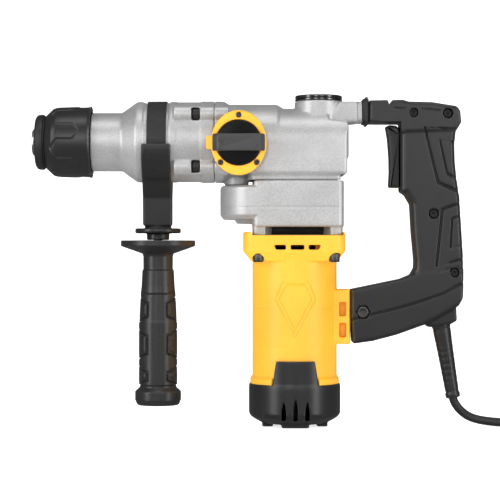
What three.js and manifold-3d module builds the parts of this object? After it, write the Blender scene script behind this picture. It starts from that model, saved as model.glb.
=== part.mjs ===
// A combination rotary hammer: upright motor, crank-driven hammer, mode selector,
// swivelling side handle and rear D-handle. Millimetres, +Z up.
// The origin is on the motor's axis, at the foot of the end cap. The chuck points to -X.

import * as THREE from 'three';
import { mergeVertices } from 'three/addons/utils/BufferGeometryUtils.js';
import Module from 'manifold-3d';

const wasm = await Module();
wasm.setup();

// ---- driving dimensions ----

const gap = 0.3; // left between touching pieces
const toolHeight = 254.7; // chuck axis above the feet
const fineSides = 24; // sides of a large turned piece
const plainSides = 16;
const smallSides = 8;

const noseX = -235.5; // front end of the spindle nose
const sleeveFrontX = -222.6;
const sleeveRearX = -182.3;
const barrelRadius = 26.25;
const housingRadius = 36.15;
const flangeRadius = 36.6;
const housingJointX = -71.6; // front housing meets gear housing
const drumRadius = 33.7;
const housingBack = 47.3;
const housingHalfWidth = 34;
const roofRise = 30.2; // of the crank chamber, above the chuck axis
const caseTop = 219.5; // gear case meets gear housing
const caseBottom = 178.3;

const gearModule = 1.2;
const pinionTeeth = 8;
const crankTeeth = 28;
const idlerTeeth = 47;
const crankX = gearModule * (pinionTeeth + crankTeeth) / 2; // 21.6
const bevelX = -gearModule * (pinionTeeth + idlerTeeth) / 2; // -33
const gearBottom = 193.5;
const gearWidth = 9;
const crankThrow = 11; // half the piston's stroke
const rodLength = 44.6;
const bevelTeeth = 12;
const ringTeeth = 30;
const ringRadius = 25;
const bevelRadius = ringRadius * bevelTeeth / ringTeeth; // 10
const cylinderRadius = 17;
const cylinderBore = 13.6;

const motorRadius = 37.9;
const motorBore = 34.5;
const collarFront = -46.2;
const collarBack = 44;
const collarHalfWidth = 44;
const collarTop = 173.8;
const shaftRadius = 5;
const fanFoot = 152;
const fanBlades = 11;
const capRadius = 41.1;
const capTop = 38.6;

const selectorX = -50;
const selectorRise = -2.7; // from the chuck axis
const sideHandleX = -122.8;
const handleHalfWidth = 18;
const cordRadius = 3.8;
const coilX = 252; // centre of the coiled cord
const coilY = 20;
const coilRadius = 42; // middle of its turns
const coilSection = 24; // width of the wound bundle
const coilHeight = 22;

// ---- colours ----

const yellow = '#fcc430';
const black = '#303030';
const rubberBlack = '#232323';
const castSilver = '#c9c9c9';
const steel = '#9a9a9a';
const darkSteel = '#3a3a3a';
const copper = '#a8642c';
const carbon = '#1c1c1c';
const springSteel = '#7d7d7d';

// ---- solids ----

function indexed(geometry) {
  const bare = geometry.clone();
  bare.deleteAttribute('normal');
  bare.deleteAttribute('uv');
  const merged = mergeVertices(bare, 1e-4);
  const corners = merged.index.array;
  const kept = [];
  for (let i = 0; i < corners.length; i += 3) {
    const [a, b, c] = corners.slice(i, i + 3);
    if (a !== b && b !== c && a !== c) kept.push(a, b, c);
  }
  return { points: Float32Array.from(merged.attributes.position.array), faces: kept };
}

function signedVolume({ points, faces }) {
  const a = new THREE.Vector3();
  const b = new THREE.Vector3();
  const c = new THREE.Vector3();
  let sum = 0;
  for (let i = 0; i < faces.length; i += 3) {
    a.fromArray(points, faces[i] * 3);
    b.fromArray(points, faces[i + 1] * 3);
    c.fromArray(points, faces[i + 2] * 3);
    sum += a.dot(b.cross(c));
  }
  return sum;
}

function solid(geometry) {
  const mesh = indexed(geometry);
  if (signedVolume(mesh) < 0) mesh.faces.reverse();
  const triVerts = Uint32Array.from(mesh.faces);
  return new wasm.Manifold(new wasm.Mesh({ numProp: 3, vertProperties: mesh.points, triVerts }));
}

function geometryOf(manifold) {
  const mesh = manifold.getMesh();
  const geometry = new THREE.BufferGeometry();
  const flat = new THREE.BufferAttribute(mesh.vertProperties, 3);
  geometry.setAttribute('position', flat);
  geometry.setIndex(new THREE.BufferAttribute(mesh.triVerts, 1));
  geometry.computeVertexNormals();
  return geometry;
}

function join(...solids) {
  return solids.reduce((sum, next) => sum.add(next));
}

function cut(body, ...tools) {
  return tools.reduce((left, tool) => left.subtract(tool), body);
}

function block(x0, x1, y0, y1, z0, z1) {
  const geometry = new THREE.BoxGeometry(x1 - x0, y1 - y0, z1 - z0);
  return solid(geometry.translate((x0 + x1) / 2, (y0 + y1) / 2, (z0 + z1) / 2));
}

// A turned piece. Each profile point is [radius, place along the axis].
function turned(axis, profile, sides = plainSides) {
  const points = profile.map(([r, along]) => new THREE.Vector2(r, along));
  const geometry = new THREE.LatheGeometry(points, sides);
  if (axis === 'x') geometry.rotateZ(-Math.PI / 2);
  if (axis === 'z') geometry.rotateX(Math.PI / 2);
  return solid(geometry);
}

// A full rod between two places along an axis that passes through (u, v).
function rod(axis, radius, from, to, u = 0, v = 0, sides = smallSides) {
  const geometry = new THREE.CylinderGeometry(radius, radius, to - from, sides);
  geometry.translate(0, (from + to) / 2, 0);
  if (axis === 'x') geometry.rotateZ(-Math.PI / 2).translate(0, u, v);
  if (axis === 'y') geometry.translate(u, 0, v);
  if (axis === 'z') geometry.rotateX(Math.PI / 2).translate(u, v, 0);
  return solid(geometry);
}

// A ring with a square section, round an axis.
function ring(axis, inner, outer, from, to, sides = plainSides) {
  const profile = [[inner, from], [outer, from], [outer, to], [inner, to], [inner, from]];
  return turned(axis, profile, sides);
}

function shapeOf(points) {
  return new THREE.Shape(points.map(([x, y]) => new THREE.Vector2(x, y)));
}

// A side outline in X and Z, made solid between two Y places, with its two faces' edges bevelled.
function sidePlate(points, y0, y1, bevel = 0) {
  const geometry = new THREE.ExtrudeGeometry(shapeOf(points), {
    depth: y1 - y0 - 2 * bevel,
    bevelEnabled: bevel > 0,
    bevelThickness: bevel,
    bevelSize: bevel,
    bevelOffset: -bevel,
    bevelSegments: 1,
  });
  return solid(geometry.rotateX(Math.PI / 2).translate(0, y1 - bevel, 0));
}

// A plan outline in X and Y, made solid between two heights.
function planPlate(shape, z0, z1, bevel = 0, curveSegments = 3) {
  const geometry = new THREE.ExtrudeGeometry(shape, {
    depth: z1 - z0 - 2 * bevel,
    bevelEnabled: bevel > 0,
    bevelThickness: bevel,
    bevelSize: bevel,
    bevelOffset: -bevel,
    bevelSegments: 1,
    curveSegments,
  });
  return solid(geometry.translate(0, 0, z0 + bevel));
}

function roundedRectangle(x0, x1, y0, y1, radius) {
  const shape = new THREE.Shape();
  shape.moveTo(x0 + radius, y0);
  shape.lineTo(x1 - radius, y0);
  shape.absarc(x1 - radius, y0 + radius, radius, -Math.PI / 2, 0, false);
  shape.lineTo(x1, y1 - radius);
  shape.absarc(x1 - radius, y1 - radius, radius, 0, Math.PI / 2, false);
  shape.lineTo(x0 + radius, y1);
  shape.absarc(x0 + radius, y1 - radius, radius, Math.PI / 2, Math.PI, false);
  shape.lineTo(x0, y0 + radius);
  shape.absarc(x0 + radius, y0 + radius, radius, Math.PI, Math.PI * 1.5, false);
  return shape;
}

// ---- scene graph ----

const hammer = new THREE.Group();

function assembly(x, y, z, parent = hammer) {
  const group = new THREE.Group();
  group.position.set(x, y, z);
  parent.add(group);
  return group;
}

const castings = assembly(0, 0, toolHeight); // everything on the chuck axis
const selector = assembly(selectorX, 0, selectorRise, castings);
const motor = assembly(0, 0, 0);
const gearTrain = assembly(0, 0, 0);
const sideHandle = assembly(sideHandleX, 0, toolHeight);
const rearHandle = assembly(0, 0, 0);
const mainsLead = assembly(0, 0, 0);

function piece(parent, name, manifold, color, roughness, metalness) {
  const material = new THREE.MeshStandardMaterial({ color, roughness, metalness });
  const mesh = new THREE.Mesh(geometryOf(manifold), material);
  mesh.name = name;
  parent.add(mesh);
  return mesh;
}

// ---- chuck and spindle, along the chuck axis ----

const bitRadius = 5.2; // socket for a 10 mm shank
const socketEnd = noseX + 44;
const holderRadius = 15;
const holderRear = -129;

function toolHolder() {
  return turned('x', [
    [bitRadius, noseX], [10.6, noseX], [11.75, noseX + 1.2], [11.75, -222.4], [holderRadius, -221.9],
    [holderRadius, -146], [cylinderRadius, -145], [cylinderRadius, holderRear], [8.6, holderRear],
    [8.6, socketEnd + 6], [bitRadius, socketEnd], [bitRadius, noseX],
  ]);
}

function noseCap() {
  return turned('x', [
    [12.1, -232.1], [21.6, -232.1], [23.8, -231], [24.8, -228.6], [24.8, -225.4], [23.4, -224.4],
    [23.4, -222.9 - gap], [12.1, -222.9 - gap], [12.1, -232.1],
  ], fineSides);
}

function chuckSleeve() {
  const rearBore = barrelRadius + 1;
  return turned('x', [
    [holderRadius + 0.4, sleeveFrontX], [24.5, sleeveFrontX], [30.3, -216], [31.3, -209.4],
    [32.1, -186.5], [32.1, sleeveRearX], [rearBore, sleeveRearX], [rearBore, -211],
    [holderRadius + 0.4, -211], [holderRadius + 0.4, sleeveFrontX],
  ], fineSides);
}

class Helix extends THREE.Curve {
  constructor(radius, from, to, turns) {
    super();
    Object.assign(this, { radius, from, to, turns });
  }

  getPoint(t, target = new THREE.Vector3()) {
    const angle = t * this.turns * Math.PI * 2;
    const along = this.from + t * (this.to - this.from);
    return target.set(along, this.radius * Math.cos(angle), this.radius * Math.sin(angle));
  }
}

function circleShape(radius, sides) {
  const points = [];
  for (let i = 0; i < sides; i += 1) {
    const angle = (i / sides) * Math.PI * 2;
    points.push([radius * Math.cos(angle), radius * Math.sin(angle)]);
  }
  return shapeOf(points);
}

function chuckSpring() {
  const path = new Helix(19, -200, -186.5, 3.5);
  const settings = { steps: 35, bevelEnabled: false, extrudePath: path };
  return solid(new THREE.ExtrudeGeometry(circleShape(1, 5), settings));
}

piece(castings, 'tool_holder', toolHolder(), steel, 0.3, 0.9);
piece(castings, 'nose_cap', noseCap(), rubberBlack, 0.7, 0);
piece(castings, 'chuck_sleeve', chuckSleeve(), black, 0.55, 0);
piece(castings, 'chuck_spring', chuckSpring(), springSteel, 0.35, 0.9);

// ---- front housing ----

const boltRise = 23.3; // bolt circle, up and down from the chuck axis
const boltSpread = 27;
const boltPlaces = [[-1, 1], [-1, -1], [1, 1], [1, -1]].map(([y, z]) => [y * boltSpread, z * boltRise]);
const boltSeatX = -84.2;

function frontHousing() {
  let body = turned('x', [
    [holderRadius + 0.5, sleeveRearX + gap], [barrelRadius, sleeveRearX + gap], [barrelRadius, -154.8],
    [36.2, -141], [36.2, -135.3], [35, -134.6], [35, -111.7], [housingRadius, -111],
    [housingRadius, boltSeatX], [flangeRadius, -83.3], [flangeRadius, housingJointX - gap],
    [28, housingJointX - gap], [28, -84], [30, -86], [30, -136], [21, -150],
    [holderRadius + 0.5, -168], [holderRadius + 0.5, sleeveRearX + gap],
  ], fineSides);
  for (const [y, z] of boltPlaces) {
    body = body.add(rod('x', 7.4, -107.6, housingJointX - gap, y, z));
  }
  body = body.subtract(rod('x', 28, -88, housingJointX, 0, 0, fineSides));
  body = body.subtract(rod('x', 29.9, -110, -86, 0, 0, fineSides));
  for (const [y, z] of boltPlaces) {
    body = body.subtract(rod('x', 6.1, -92, boltSeatX, y, z));
    body = body.subtract(rod('x', 2.9, -93, housingJointX, y, z, 8));
  }
  return body;
}

function housingBolt(y, z) {
  const head = rod('x', 5.6, -91, boltSeatX - gap, y, z);
  const shank = rod('x', 2.5, -88, -62, y, z, 8);
  const socket = rod('x', 2.6, -91.5, -88, y, z, 6);
  return cut(head.add(shank), socket);
}

piece(castings, 'front_housing', frontHousing(), castSilver, 0.5, 0.7);
boltPlaces.forEach(([y, z], i) => {
  piece(castings, `housing_bolt_${i + 1}`, housingBolt(y, z), darkSteel, 0.45, 0.6);
});

// ---- mode selector sizes, about the Y axis ----

const bezelBack = -37.9;
const bezelFront = -43.4;
const bezelHalfLength = 24.5;
const bezelHalfHeight = 28.5;
const knobRadius = 19.9;
const bezelScrews = [[0, 24.4], [-15.9, -17.2], [15.9, -17.2]];

// ---- gear housing ----

const neckEnd = 60.1;
const neckRise = 27; // neck's tongue above the chuck axis
const neckHalfWidth = 15;
const greaseTop = 36.5; // above the chuck axis

// The crank chamber's section, in Y and Z, made solid along X: a round roof over upright walls.
function vault(rise, halfWidth, from, to) {
  const section = new THREE.Shape();
  section.moveTo(-halfWidth, -60);
  section.lineTo(halfWidth, -60);
  section.lineTo(halfWidth, -16);
  section.absellipse(0, 0, halfWidth - 0.5, rise, 0, Math.PI, false, 0);
  section.lineTo(-halfWidth, -16);
  const settings = { depth: to - from, bevelEnabled: false, curveSegments: 14 };
  const geometry = new THREE.ExtrudeGeometry(section, settings);
  return solid(geometry.rotateX(Math.PI / 2).rotateZ(Math.PI / 2).translate(from, 0, 0));
}

function gearHousingOutside() {
  const drum = turned('x', [
    [0, housingJointX], [flangeRadius, housingJointX], [flangeRadius, -63.6], [drumRadius, -58.6],
    [drumRadius, -17.5], [roofRise, -11.3], [0, -11.3],
  ], fineSides);
  const upper = sidePlate([
    [-41.6, -30], [45.9, -30], [45.9, -16], [housingBack, -15.9], [housingBack, 16.5], [30, 18.5],
    [28, 31], [-41.6, 31],
  ], -housingHalfWidth, housingHalfWidth, 3);
  const lower = planPlate(roundedRectangle(-41.6, 43, -32, 32, 10), -35, -20);
  const boltPads = boltPlaces.map(([y, z]) => rod('x', 7.4, housingJointX, -59, y, z));
  const neck = sidePlate([
    [20, 17.1], [neckEnd, 17.1], [neckEnd, 35.7], [39, 35.7], [30, 26], [20, 26],
  ], -neckHalfWidth, neckHalfWidth, 2);
  const shoulder = sidePlate([
    [26, 14], [56, 17.1], [56, 35.7], [39, 35.7],
  ], -neckHalfWidth - 3, neckHalfWidth + 3, 2);
  const neckTongue = rod('x', 5.3, 50, 75, 0, neckRise, smallSides);
  const greaseBoss = rod('z', 21.4, 15, greaseTop, crankX, 0, fineSides);
  const selectorBoss = rod('y', 21.2, bezelBack + gap, -10, selectorX, selectorRise, fineSides);
  const bulgeNeck = rod('z', 12, -39.3, -20, -50, 0, plainSides);
  const chamber = upper.intersect(vault(roofRise, housingHalfWidth, -100, 100));
  const bosses = [neckTongue, greaseBoss, selectorBoss, bulgeNeck, ...boltPads];
  return join(drum, chamber, lower, neck, shoulder, ...bosses);
}

function gearHousing() {
  const room = sidePlate([
    [-38, -50], [42.5, -50], [42.5, 13], [28, 13], [25, 23], [-38, 23],
  ], -28.5, 28.5);
  const cavity = join(
    rod('x', 28.5, -60, -30, 0, 0, fineSides),
    room.intersect(vault(27, 28.5, -50, 50)),
    rod('z', 16.5, 10, 50, crankX, 0, plainSides),
    rod('x', 28, -80, -59, 0, 0, fineSides),
    rod('z', 12.2, -50, -10, bevelX, 0, plainSides),
  );
  const selectorBore = rod('y', 6, -50, -20, selectorX, selectorRise, smallSides);
  const boltHoles = boltPlaces.map(([y, z]) => rod('x', 2.9, -75, -61, y, z, 8));
  return cut(gearHousingOutside(), cavity, selectorBore, ...boltHoles);
}

function greaseCap() {
  const top = rod('z', 21.2, greaseTop + gap, 41.7, crankX, 0, fineSides);
  const plug = rod('z', 15.8, 27, greaseTop + 1, crankX, 0, plainSides);
  const hollow = rod('z', 12, 26, 33, crankX, 0, plainSides);
  const key = rod('z', 8, 38.5, 42, crankX, 0, 6);
  return cut(join(top, plug), hollow, key);
}

piece(castings, 'gear_housing', gearHousing(), castSilver, 0.5, 0.7);
piece(castings, 'grease_cap', greaseCap(), darkSteel, 0.3, 0.8);

// ---- mode selector, round the Y axis ----

function selectorBezel() {
  const outline = new THREE.Shape();
  outline.absellipse(0, 0, bezelHalfLength, bezelHalfHeight, 0, Math.PI * 2, false, 0);
  const geometry = new THREE.ExtrudeGeometry(outline, {
    depth: bezelBack - bezelFront, bevelEnabled: false, curveSegments: 24,
  });
  const plate = solid(geometry.rotateX(Math.PI / 2).translate(0, bezelBack, 0));
  const tab = block(-28.5, -20, bezelFront, bezelBack, -5.8, 5.8);
  const bore = rod('y', knobRadius + 0.5, -60, -20, 0, 0, fineSides);
  const holes = bezelScrews.map(([x, z]) => rod('y', 2.6, -60, -20, x, z, 8));
  return cut(plate.add(tab), bore, ...holes);
}

function bezelScrew(x, z) {
  return rod('y', 2.3, bezelFront + 0.9, bezelBack + gap, x, z, 8);
}

function selectorKnob() {
  const disc = rod('y', knobRadius, -46, bezelBack, 0, 0, fineSides);
  const bar = sidePlate([[-23, -7.5], [23, -7.5], [23, 7.5], [-23, 7.5]], -53.5, -44.2, 2);
  const shaft = rod('y', 5.5, -40, -29.5, 0, 0, smallSides);
  return join(disc, bar, shaft);
}

piece(selector, 'selector_bezel', selectorBezel(), yellow, 0.45, 0);
bezelScrews.forEach(([x, z], i) => {
  piece(selector, `bezel_screw_${i + 1}`, bezelScrew(x, z), darkSteel, 0.4, 0.7);
});
piece(selector, 'selector_knob', selectorKnob(), black, 0.5, 0);

// ---- hammer mechanism, along the chuck axis ----

const pistonX = crankX - crankThrow - rodLength; // wrist pin at the front end of the stroke
const rodBottom = -4.9;
const rodTop = 4.9;
const slack = 0.35;

function cylinderTube() {
  return ring('x', cylinderBore, cylinderRadius, holderRear + gap, -12);
}

function piston() {
  const body = rod('x', cylinderBore - slack, pistonX - 20, pistonX + 8, 0, 0, plainSides);
  const slot = block(pistonX - 9, pistonX + 9, -8.5, 8.5, rodBottom - gap, rodTop + gap);
  const throat = block(pistonX, pistonX + 9, -10, 10, rodBottom - gap, rodTop + gap);
  const pinHole = rod('z', 3.3, -14, 14, pistonX, 0, smallSides);
  return cut(body, slot, throat, pinHole);
}

function connectingRod() {
  const bigEnd = rod('z', 9, rodBottom, rodTop, pistonX + rodLength, 0, plainSides);
  const smallEnd = rod('z', 7, rodBottom, rodTop, pistonX, 0, plainSides);
  const shank = block(pistonX, pistonX + rodLength, -4, 4, rodBottom, rodTop);
  const wristPin = rod('z', 3, -12, 12, pistonX, 0, smallSides);
  const eye = rod('z', 4.4, -10, 10, pistonX + rodLength, 0, smallSides);
  return cut(join(bigEnd, smallEnd, shank, wristPin), eye);
}

const strikerX = -92;

function striker() {
  return turned('x', [
    [0, strikerX - 16], [7, strikerX - 16], [cylinderBore - slack, strikerX - 10],
    [cylinderBore - slack, strikerX + 12], [8, strikerX + 14], [0, strikerX + 14],
  ]);
}

function impactBolt() {
  return turned('x', [
    [0, -188], [4.8, -188], [4.8, -182], [8.2, -179], [8.2, -152], [6, -150], [6, -130.5], [0, -130.5],
  ], 16);
}

function spindleBearing() {
  return ring('x', cylinderRadius + gap, 28 - gap, -83.5, -74.5, fineSides);
}

piece(castings, 'cylinder_tube', cylinderTube(), steel, 0.3, 0.9);
piece(castings, 'piston', piston(), steel, 0.35, 0.9);
piece(castings, 'connecting_rod', connectingRod(), steel, 0.4, 0.9);
piece(castings, 'striker', striker(), steel, 0.3, 0.9);
piece(castings, 'impact_bolt', impactBolt(), steel, 0.3, 0.9);
piece(castings, 'spindle_bearing', spindleBearing(), steel, 0.25, 0.9);

// ---- gears ----

const addendum = 0.85; // in modules
const dedendum = 1.25;
const pressureAngle = 20 * Math.PI / 180;
const toothShare = 0.44; // of the pitch, leaving backlash

// A gear's outline: straight-sided teeth thinner at the tip, one tooth centred on the start angle.
function gearOutline(teeth, pitchRadius, start = 0) {
  const size = 2 * pitchRadius / teeth;
  const tip = pitchRadius + addendum * size;
  const root = pitchRadius - dedendum * size;
  const half = Math.PI * size * toothShare / 2;
  const lean = Math.tan(pressureAngle);
  const rootHalf = (half + dedendum * size * lean) / root;
  const tipHalf = Math.max(half - addendum * size * lean, 0.15 * size) / tip;
  const pitch = Math.PI * 2 / teeth;
  const points = [];
  for (let i = 0; i < teeth; i += 1) {
    const middle = start + i * pitch;
    const flank = Math.min(rootHalf, pitch * 0.42);
    const corners = [[root, -flank], [tip, -tipHalf], [tip, tipHalf], [root, flank]];
    for (const [r, turn] of corners) {
      points.push([r * Math.cos(middle + turn), r * Math.sin(middle + turn)]);
    }
  }
  return points;
}

function spurGear(teeth, start, z0, z1) {
  const outline = gearOutline(teeth, gearModule * teeth / 2, start);
  return planPlate(shapeOf(outline), z0, z1);
}

// A bevel gear's blank narrows by the same share at every point, towards the point where the axes meet.
function bevelGear(teeth, pitchRadius, apexDistance, faceShare, start) {
  const depth = apexDistance * (1 - faceShare);
  const shape = shapeOf(gearOutline(teeth, pitchRadius, start));
  const geometry = new THREE.ExtrudeGeometry(shape, { depth, bevelEnabled: false });
  const position = geometry.attributes.position;
  for (let i = 0; i < position.count; i += 1) {
    const share = position.getZ(i) > depth / 2 ? faceShare : 1;
    position.setX(i, position.getX(i) * share);
    position.setY(i, position.getY(i) * share);
  }
  return geometry;
}

const bevelFace = 0.8; // small end over large end
const bevelBacklash = 1.7; // the ring gear stands off by this much

function ringGear() {
  const geometry = bevelGear(ringTeeth, ringRadius, bevelRadius, bevelFace, Math.PI / 2);
  const face = bevelX - bevelRadius - bevelBacklash;
  const teeth = solid(geometry.rotateY(Math.PI / 2).translate(face, 0, 0));
  const hub = rod('x', 24, face - 6, face + 0.5, 0, 0, fineSides);
  const bore = rod('x', cylinderRadius + gap, -80, 0, 0, 0, plainSides);
  return cut(teeth.add(hub), bore);
}

function bevelShaft() {
  const largeEnd = toolHeight - ringRadius;
  const geometry = bevelGear(bevelTeeth, bevelRadius, ringRadius, bevelFace, 0);
  const teeth = solid(geometry.translate(bevelX, 0, largeEnd));
  const back = rod('z', 8.4, largeEnd - 4, largeEnd + 0.5, bevelX, 0, 16);
  const shaft = rod('z', shaftRadius, 182, largeEnd, bevelX, 0, smallSides);
  return join(teeth, back, shaft);
}

function intermediateGear() {
  const teeth = spurGear(idlerTeeth, Math.PI / idlerTeeth, gearBottom, gearBottom + gearWidth);
  const hub = rod('z', 9, gearBottom - 2, gearBottom + gearWidth + 6, 0, 0, 16);
  const bore = rod('z', shaftRadius + gap, 100, 300, 0, 0, smallSides);
  const webs = ring('z', 12, 23, gearBottom + 5, gearBottom + gearWidth + 1);
  return cut(teeth.add(hub), bore, webs).translate([bevelX, 0, 0]);
}

function crankGear() {
  const start = Math.PI + Math.PI / crankTeeth;
  const teeth = spurGear(crankTeeth, start, gearBottom, gearBottom + gearWidth);
  const shaft = rod('z', shaftRadius, 182, 237, 0, 0, 16);
  const shoulder = rod('z', 9, gearBottom + gearWidth - 1, 222, 0, 0, 16);
  const web = rod('z', 16.5, 236, 243.5, 0, 0, plainSides);
  const pin = rod('z', 4, 243, toolHeight + rodBottom - 0.4, -crankThrow, 0, smallSides);
  return join(teeth, shaft, shoulder, web, pin).translate([crankX, 0, 0]);
}

function motorShaft() {
  const shaft = rod('z', shaftRadius, 20, 189.5, 0, 0, 16);
  const pinion = spurGear(pinionTeeth, 0, 189, 207);
  return join(shaft, pinion);
}

piece(castings, 'bevel_ring_gear', ringGear(), steel, 0.35, 0.9);
piece(gearTrain, 'bevel_shaft', bevelShaft(), steel, 0.35, 0.9);
piece(gearTrain, 'intermediate_gear', intermediateGear(), steel, 0.35, 0.9);
piece(gearTrain, 'crank_gear', crankGear(), steel, 0.35, 0.9);
piece(motor, 'motor_shaft', motorShaft(), steel, 0.3, 0.9);

// ---- gear case ----

const windowFront = -29.4;
const windowBack = 33.7;
const caseHalfWidth = 34;

function gearCase() {
  const plan = roundedRectangle(-38.2, 43.1, -caseHalfWidth, caseHalfWidth, 9);
  const main = planPlate(plan, caseBottom, caseTop);
  const bulge = turned('z', [
    [0, 181.4], [19, 181.4], [21, 185], [31, 185], [33.8, 188.9], [33.8, 213.5], [31.8, 215.4],
    [0, 215.4],
  ], fineSides).translate([bevelX, 0, 0]);
  const posts = planPlate(roundedRectangle(-38, 41.9, -32, 32, 6), collarTop - 2.7, caseBottom + 1);
  const window = [-1, 1].map((side) => {
    const [from, to] = [side * 18, side * 50].sort((a, b) => a - b);
    return block(windowFront, windowBack, from, to, 160, caseBottom);
  });
  const cavity = join(
    rod('z', 19, 189.5, 230, crankX, 0, fineSides),
    rod('z', 30.4, 189.5, 230, bevelX, 0, fineSides),
  );
  const bearingSeat = rod('z', 13.3, 100, 188.3, 0, 0, plainSides);
  const shaftHole = rod('z', 7.5, 180, 230, 0, 0, 16);
  const lowerHoles = [crankX, bevelX].map((x) => rod('z', shaftRadius + gap, 181.5, 195, x, 0, 16));
  return cut(join(main, bulge, posts), ...window, cavity, bearingSeat, shaftHole, ...lowerHoles);
}

piece(gearTrain, 'gear_case', gearCase(), castSilver, 0.5, 0.7);

// ---- motor ----

const beadTop = 44.6;
const housingFoot = 35.6;
const bracketTop = 122.7;
const bracketFoot = 73.7;
const bracketBack = 49.4;
const bracketHalfWidth = 15;
const screwPlaces = [[-32.8, -37], [34.4, -37], [-32.8, 37], [34.4, 37]];

function collarBlock() {
  const wide = collarHalfWidth;
  const geometry = new THREE.ExtrudeGeometry(roundedRectangle(collarFront, collarBack, -wide, wide, 13), {
    depth: 40,
    bevelEnabled: true,
    bevelThickness: 8,
    bevelSize: 7.5,
    bevelOffset: -7.5,
    bevelSegments: 1,
    curveSegments: 4,
  });
  const tall = solid(geometry.translate(0, 0, 148 + 8));
  return tall.subtract(block(-80, 80, -80, 80, collarTop - 3.2, 300));
}

function motorHousing() {
  const tube = turned('z', [
    [0, housingFoot], [39.7, housingFoot], [39.7, beadTop - 1.5], [38.6, beadTop],
    [motorRadius, beadTop + 1], [motorRadius, 160], [0, 160],
  ], fineSides);
  const bracket = block(20, bracketBack, -bracketHalfWidth, bracketHalfWidth, bracketFoot, bracketTop);
  const tongue = block(40, 67.5, -5, 5, 92, 113);
  const hollow = rod('z', motorBore, 20, 200, 0, 0, fineSides);
  const tools = [hollow, rod('y', 3.3, -20, 20, 60.6, 102.4, 8)];
  for (const side of [-1, 1]) {
    const across = (near, far) => [side * near, side * far].sort((a, b) => a - b);
    tools.push(block(-21.2, 21.2, ...across(20, 60), 20, 60.6));
    for (const [x0, x1] of [[-19.4, -8.6], [-4.4, 7.6], [11.3, 22.5]]) {
      tools.push(block(x0, x1, ...across(30, 60), 158.1, 162.3));
    }
    for (const [z0, z1] of [[98.8, 111.6], [79.9, 92.8]]) {
      tools.push(block(39.5, 45.5, ...across(7, 20), z0, z1));
    }
  }
  for (const [x, y] of screwPlaces) {
    tools.push(rod('z', 2.4, 140, 180, x, y, 8), rod('z', 4.9, 140, 156.4, x, y, smallSides));
  }
  const skirt = ring('z', motorBore, motorRadius, housingFoot, 61, fineSides);
  return cut(join(tube, collarBlock(), bracket, tongue), ...tools).add(skirt);
}

function motorScrew(x, y) {
  return join(rod('z', 4.5, 147, 154.4, x, y, smallSides), rod('z', 2, 150, 170, x, y, 8));
}

function footPad(turn) {
  const pad = block(19.5, 29.2, -12.2, 12.2, 0, 6);
  return pad.rotate([0, 0, turn]);
}

function motorEndCap() {
  const shell = turned('z', [
    [0, 2.9], [29, 2.9], [34.7, 6], [39.4, 9], [capRadius, 12.1], [capRadius, capTop - 3.5],
    [40.8, capTop], [0, capTop],
  ], fineSides);
  const tongues = [-1, 1].map((side) => sidePlate(
    [[-20.6, 30], [20.6, 30], [20.2, 40], [17.1, 59.8], [-17.1, 59.8], [-20.2, 40]],
    side < 0 ? -60 : 0, side < 0 ? 0 : 60,
  ));
  const tongueSkin = rod('z', 40.3, 20, 62, 0, 0, fineSides);
  const tongue = tongues[0].add(tongues[1]).intersect(tongueSkin);
  const inside = turned('z', [
    [0, 6.5], [27, 6.5], [36.5, 13], [37.4, 33], [39.95, 35.3], [39.95, 70], [0, 70],
  ], fineSides);
  const insideOfTongue = rod('z', motorRadius + gap, 20, 70, 0, 0, fineSides);
  const rim = cut(shell, inside);
  const bearingCup = cut(rod('z', 15.5, 5, 32, 0, 0, plainSides), rod('z', 12.4, 20, 40, 0, 0, plainSides));
  const pads = [0, 90, 180, 270].map(footPad);
  const centrePad = rod('z', 10, 0, 5, 0, 0, 16);
  const slots = [];
  for (const x of [-10.4, 0, 10.4]) {
    slots.push(block(x - 2, x + 2, -60, -30, 9, 16), block(x - 2, x + 2, 30, 60, 9, 16));
  }
  return cut(join(rim, cut(tongue, insideOfTongue), bearingCup, ...pads, centrePad), ...slots);
}

function coolingFan() {
  const hub = rod('z', 11, fanFoot, fanFoot + 11, 0, 0, 16);
  const disc = rod('z', 32, fanFoot + 9, fanFoot + 11, 0, 0, fineSides);
  const blades = [];
  for (let i = 0; i < fanBlades; i += 1) {
    const blade = block(9, 31, -0.9, 0.9, fanFoot, fanFoot + 10);
    blades.push(blade.rotate([0, 0, i * 360 / fanBlades]));
  }
  return cut(join(hub, disc, ...blades), rod('z', shaftRadius + gap, 100, 200, 0, 0, 16));
}

piece(motor, 'motor_housing', motorHousing(), yellow, 0.45, 0);
screwPlaces.forEach(([x, y], i) => {
  piece(motor, `motor_screw_${i + 1}`, motorScrew(x, y), darkSteel, 0.4, 0.7);
});
piece(motor, 'motor_end_cap', motorEndCap(), black, 0.55, 0);
piece(motor, 'stator', ring('z', 21.6, motorBore - gap, 60, 120, fineSides), darkSteel, 0.6, 0.5);
piece(motor, 'armature_core', ring('z', shaftRadius + gap, 20.9, 62, 118), copper, 0.5, 0.6);
piece(motor, 'commutator', ring('z', shaftRadius + gap, 13, 39, 55), copper, 0.35, 0.9);
piece(motor, 'cooling_fan', coolingFan(), black, 0.6, 0);
piece(motor, 'lower_bearing', ring('z', shaftRadius + gap, 12.1, 22, 31), steel, 0.25, 0.9);
piece(motor, 'upper_bearing', ring('z', shaftRadius + gap, 13, 178.8, 188), steel, 0.25, 0.9);
for (const [name, side] of [['brush_left', -1], ['brush_right', 1]]) {
  const reach = [side * 13.4, side * 31].sort((a, b) => a - b);
  const brush = block(...reach, -4, 4, 42, 52);
  piece(motor, name, brush, carbon, 0.8, 0);
}

// ---- rear handle ----

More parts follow.
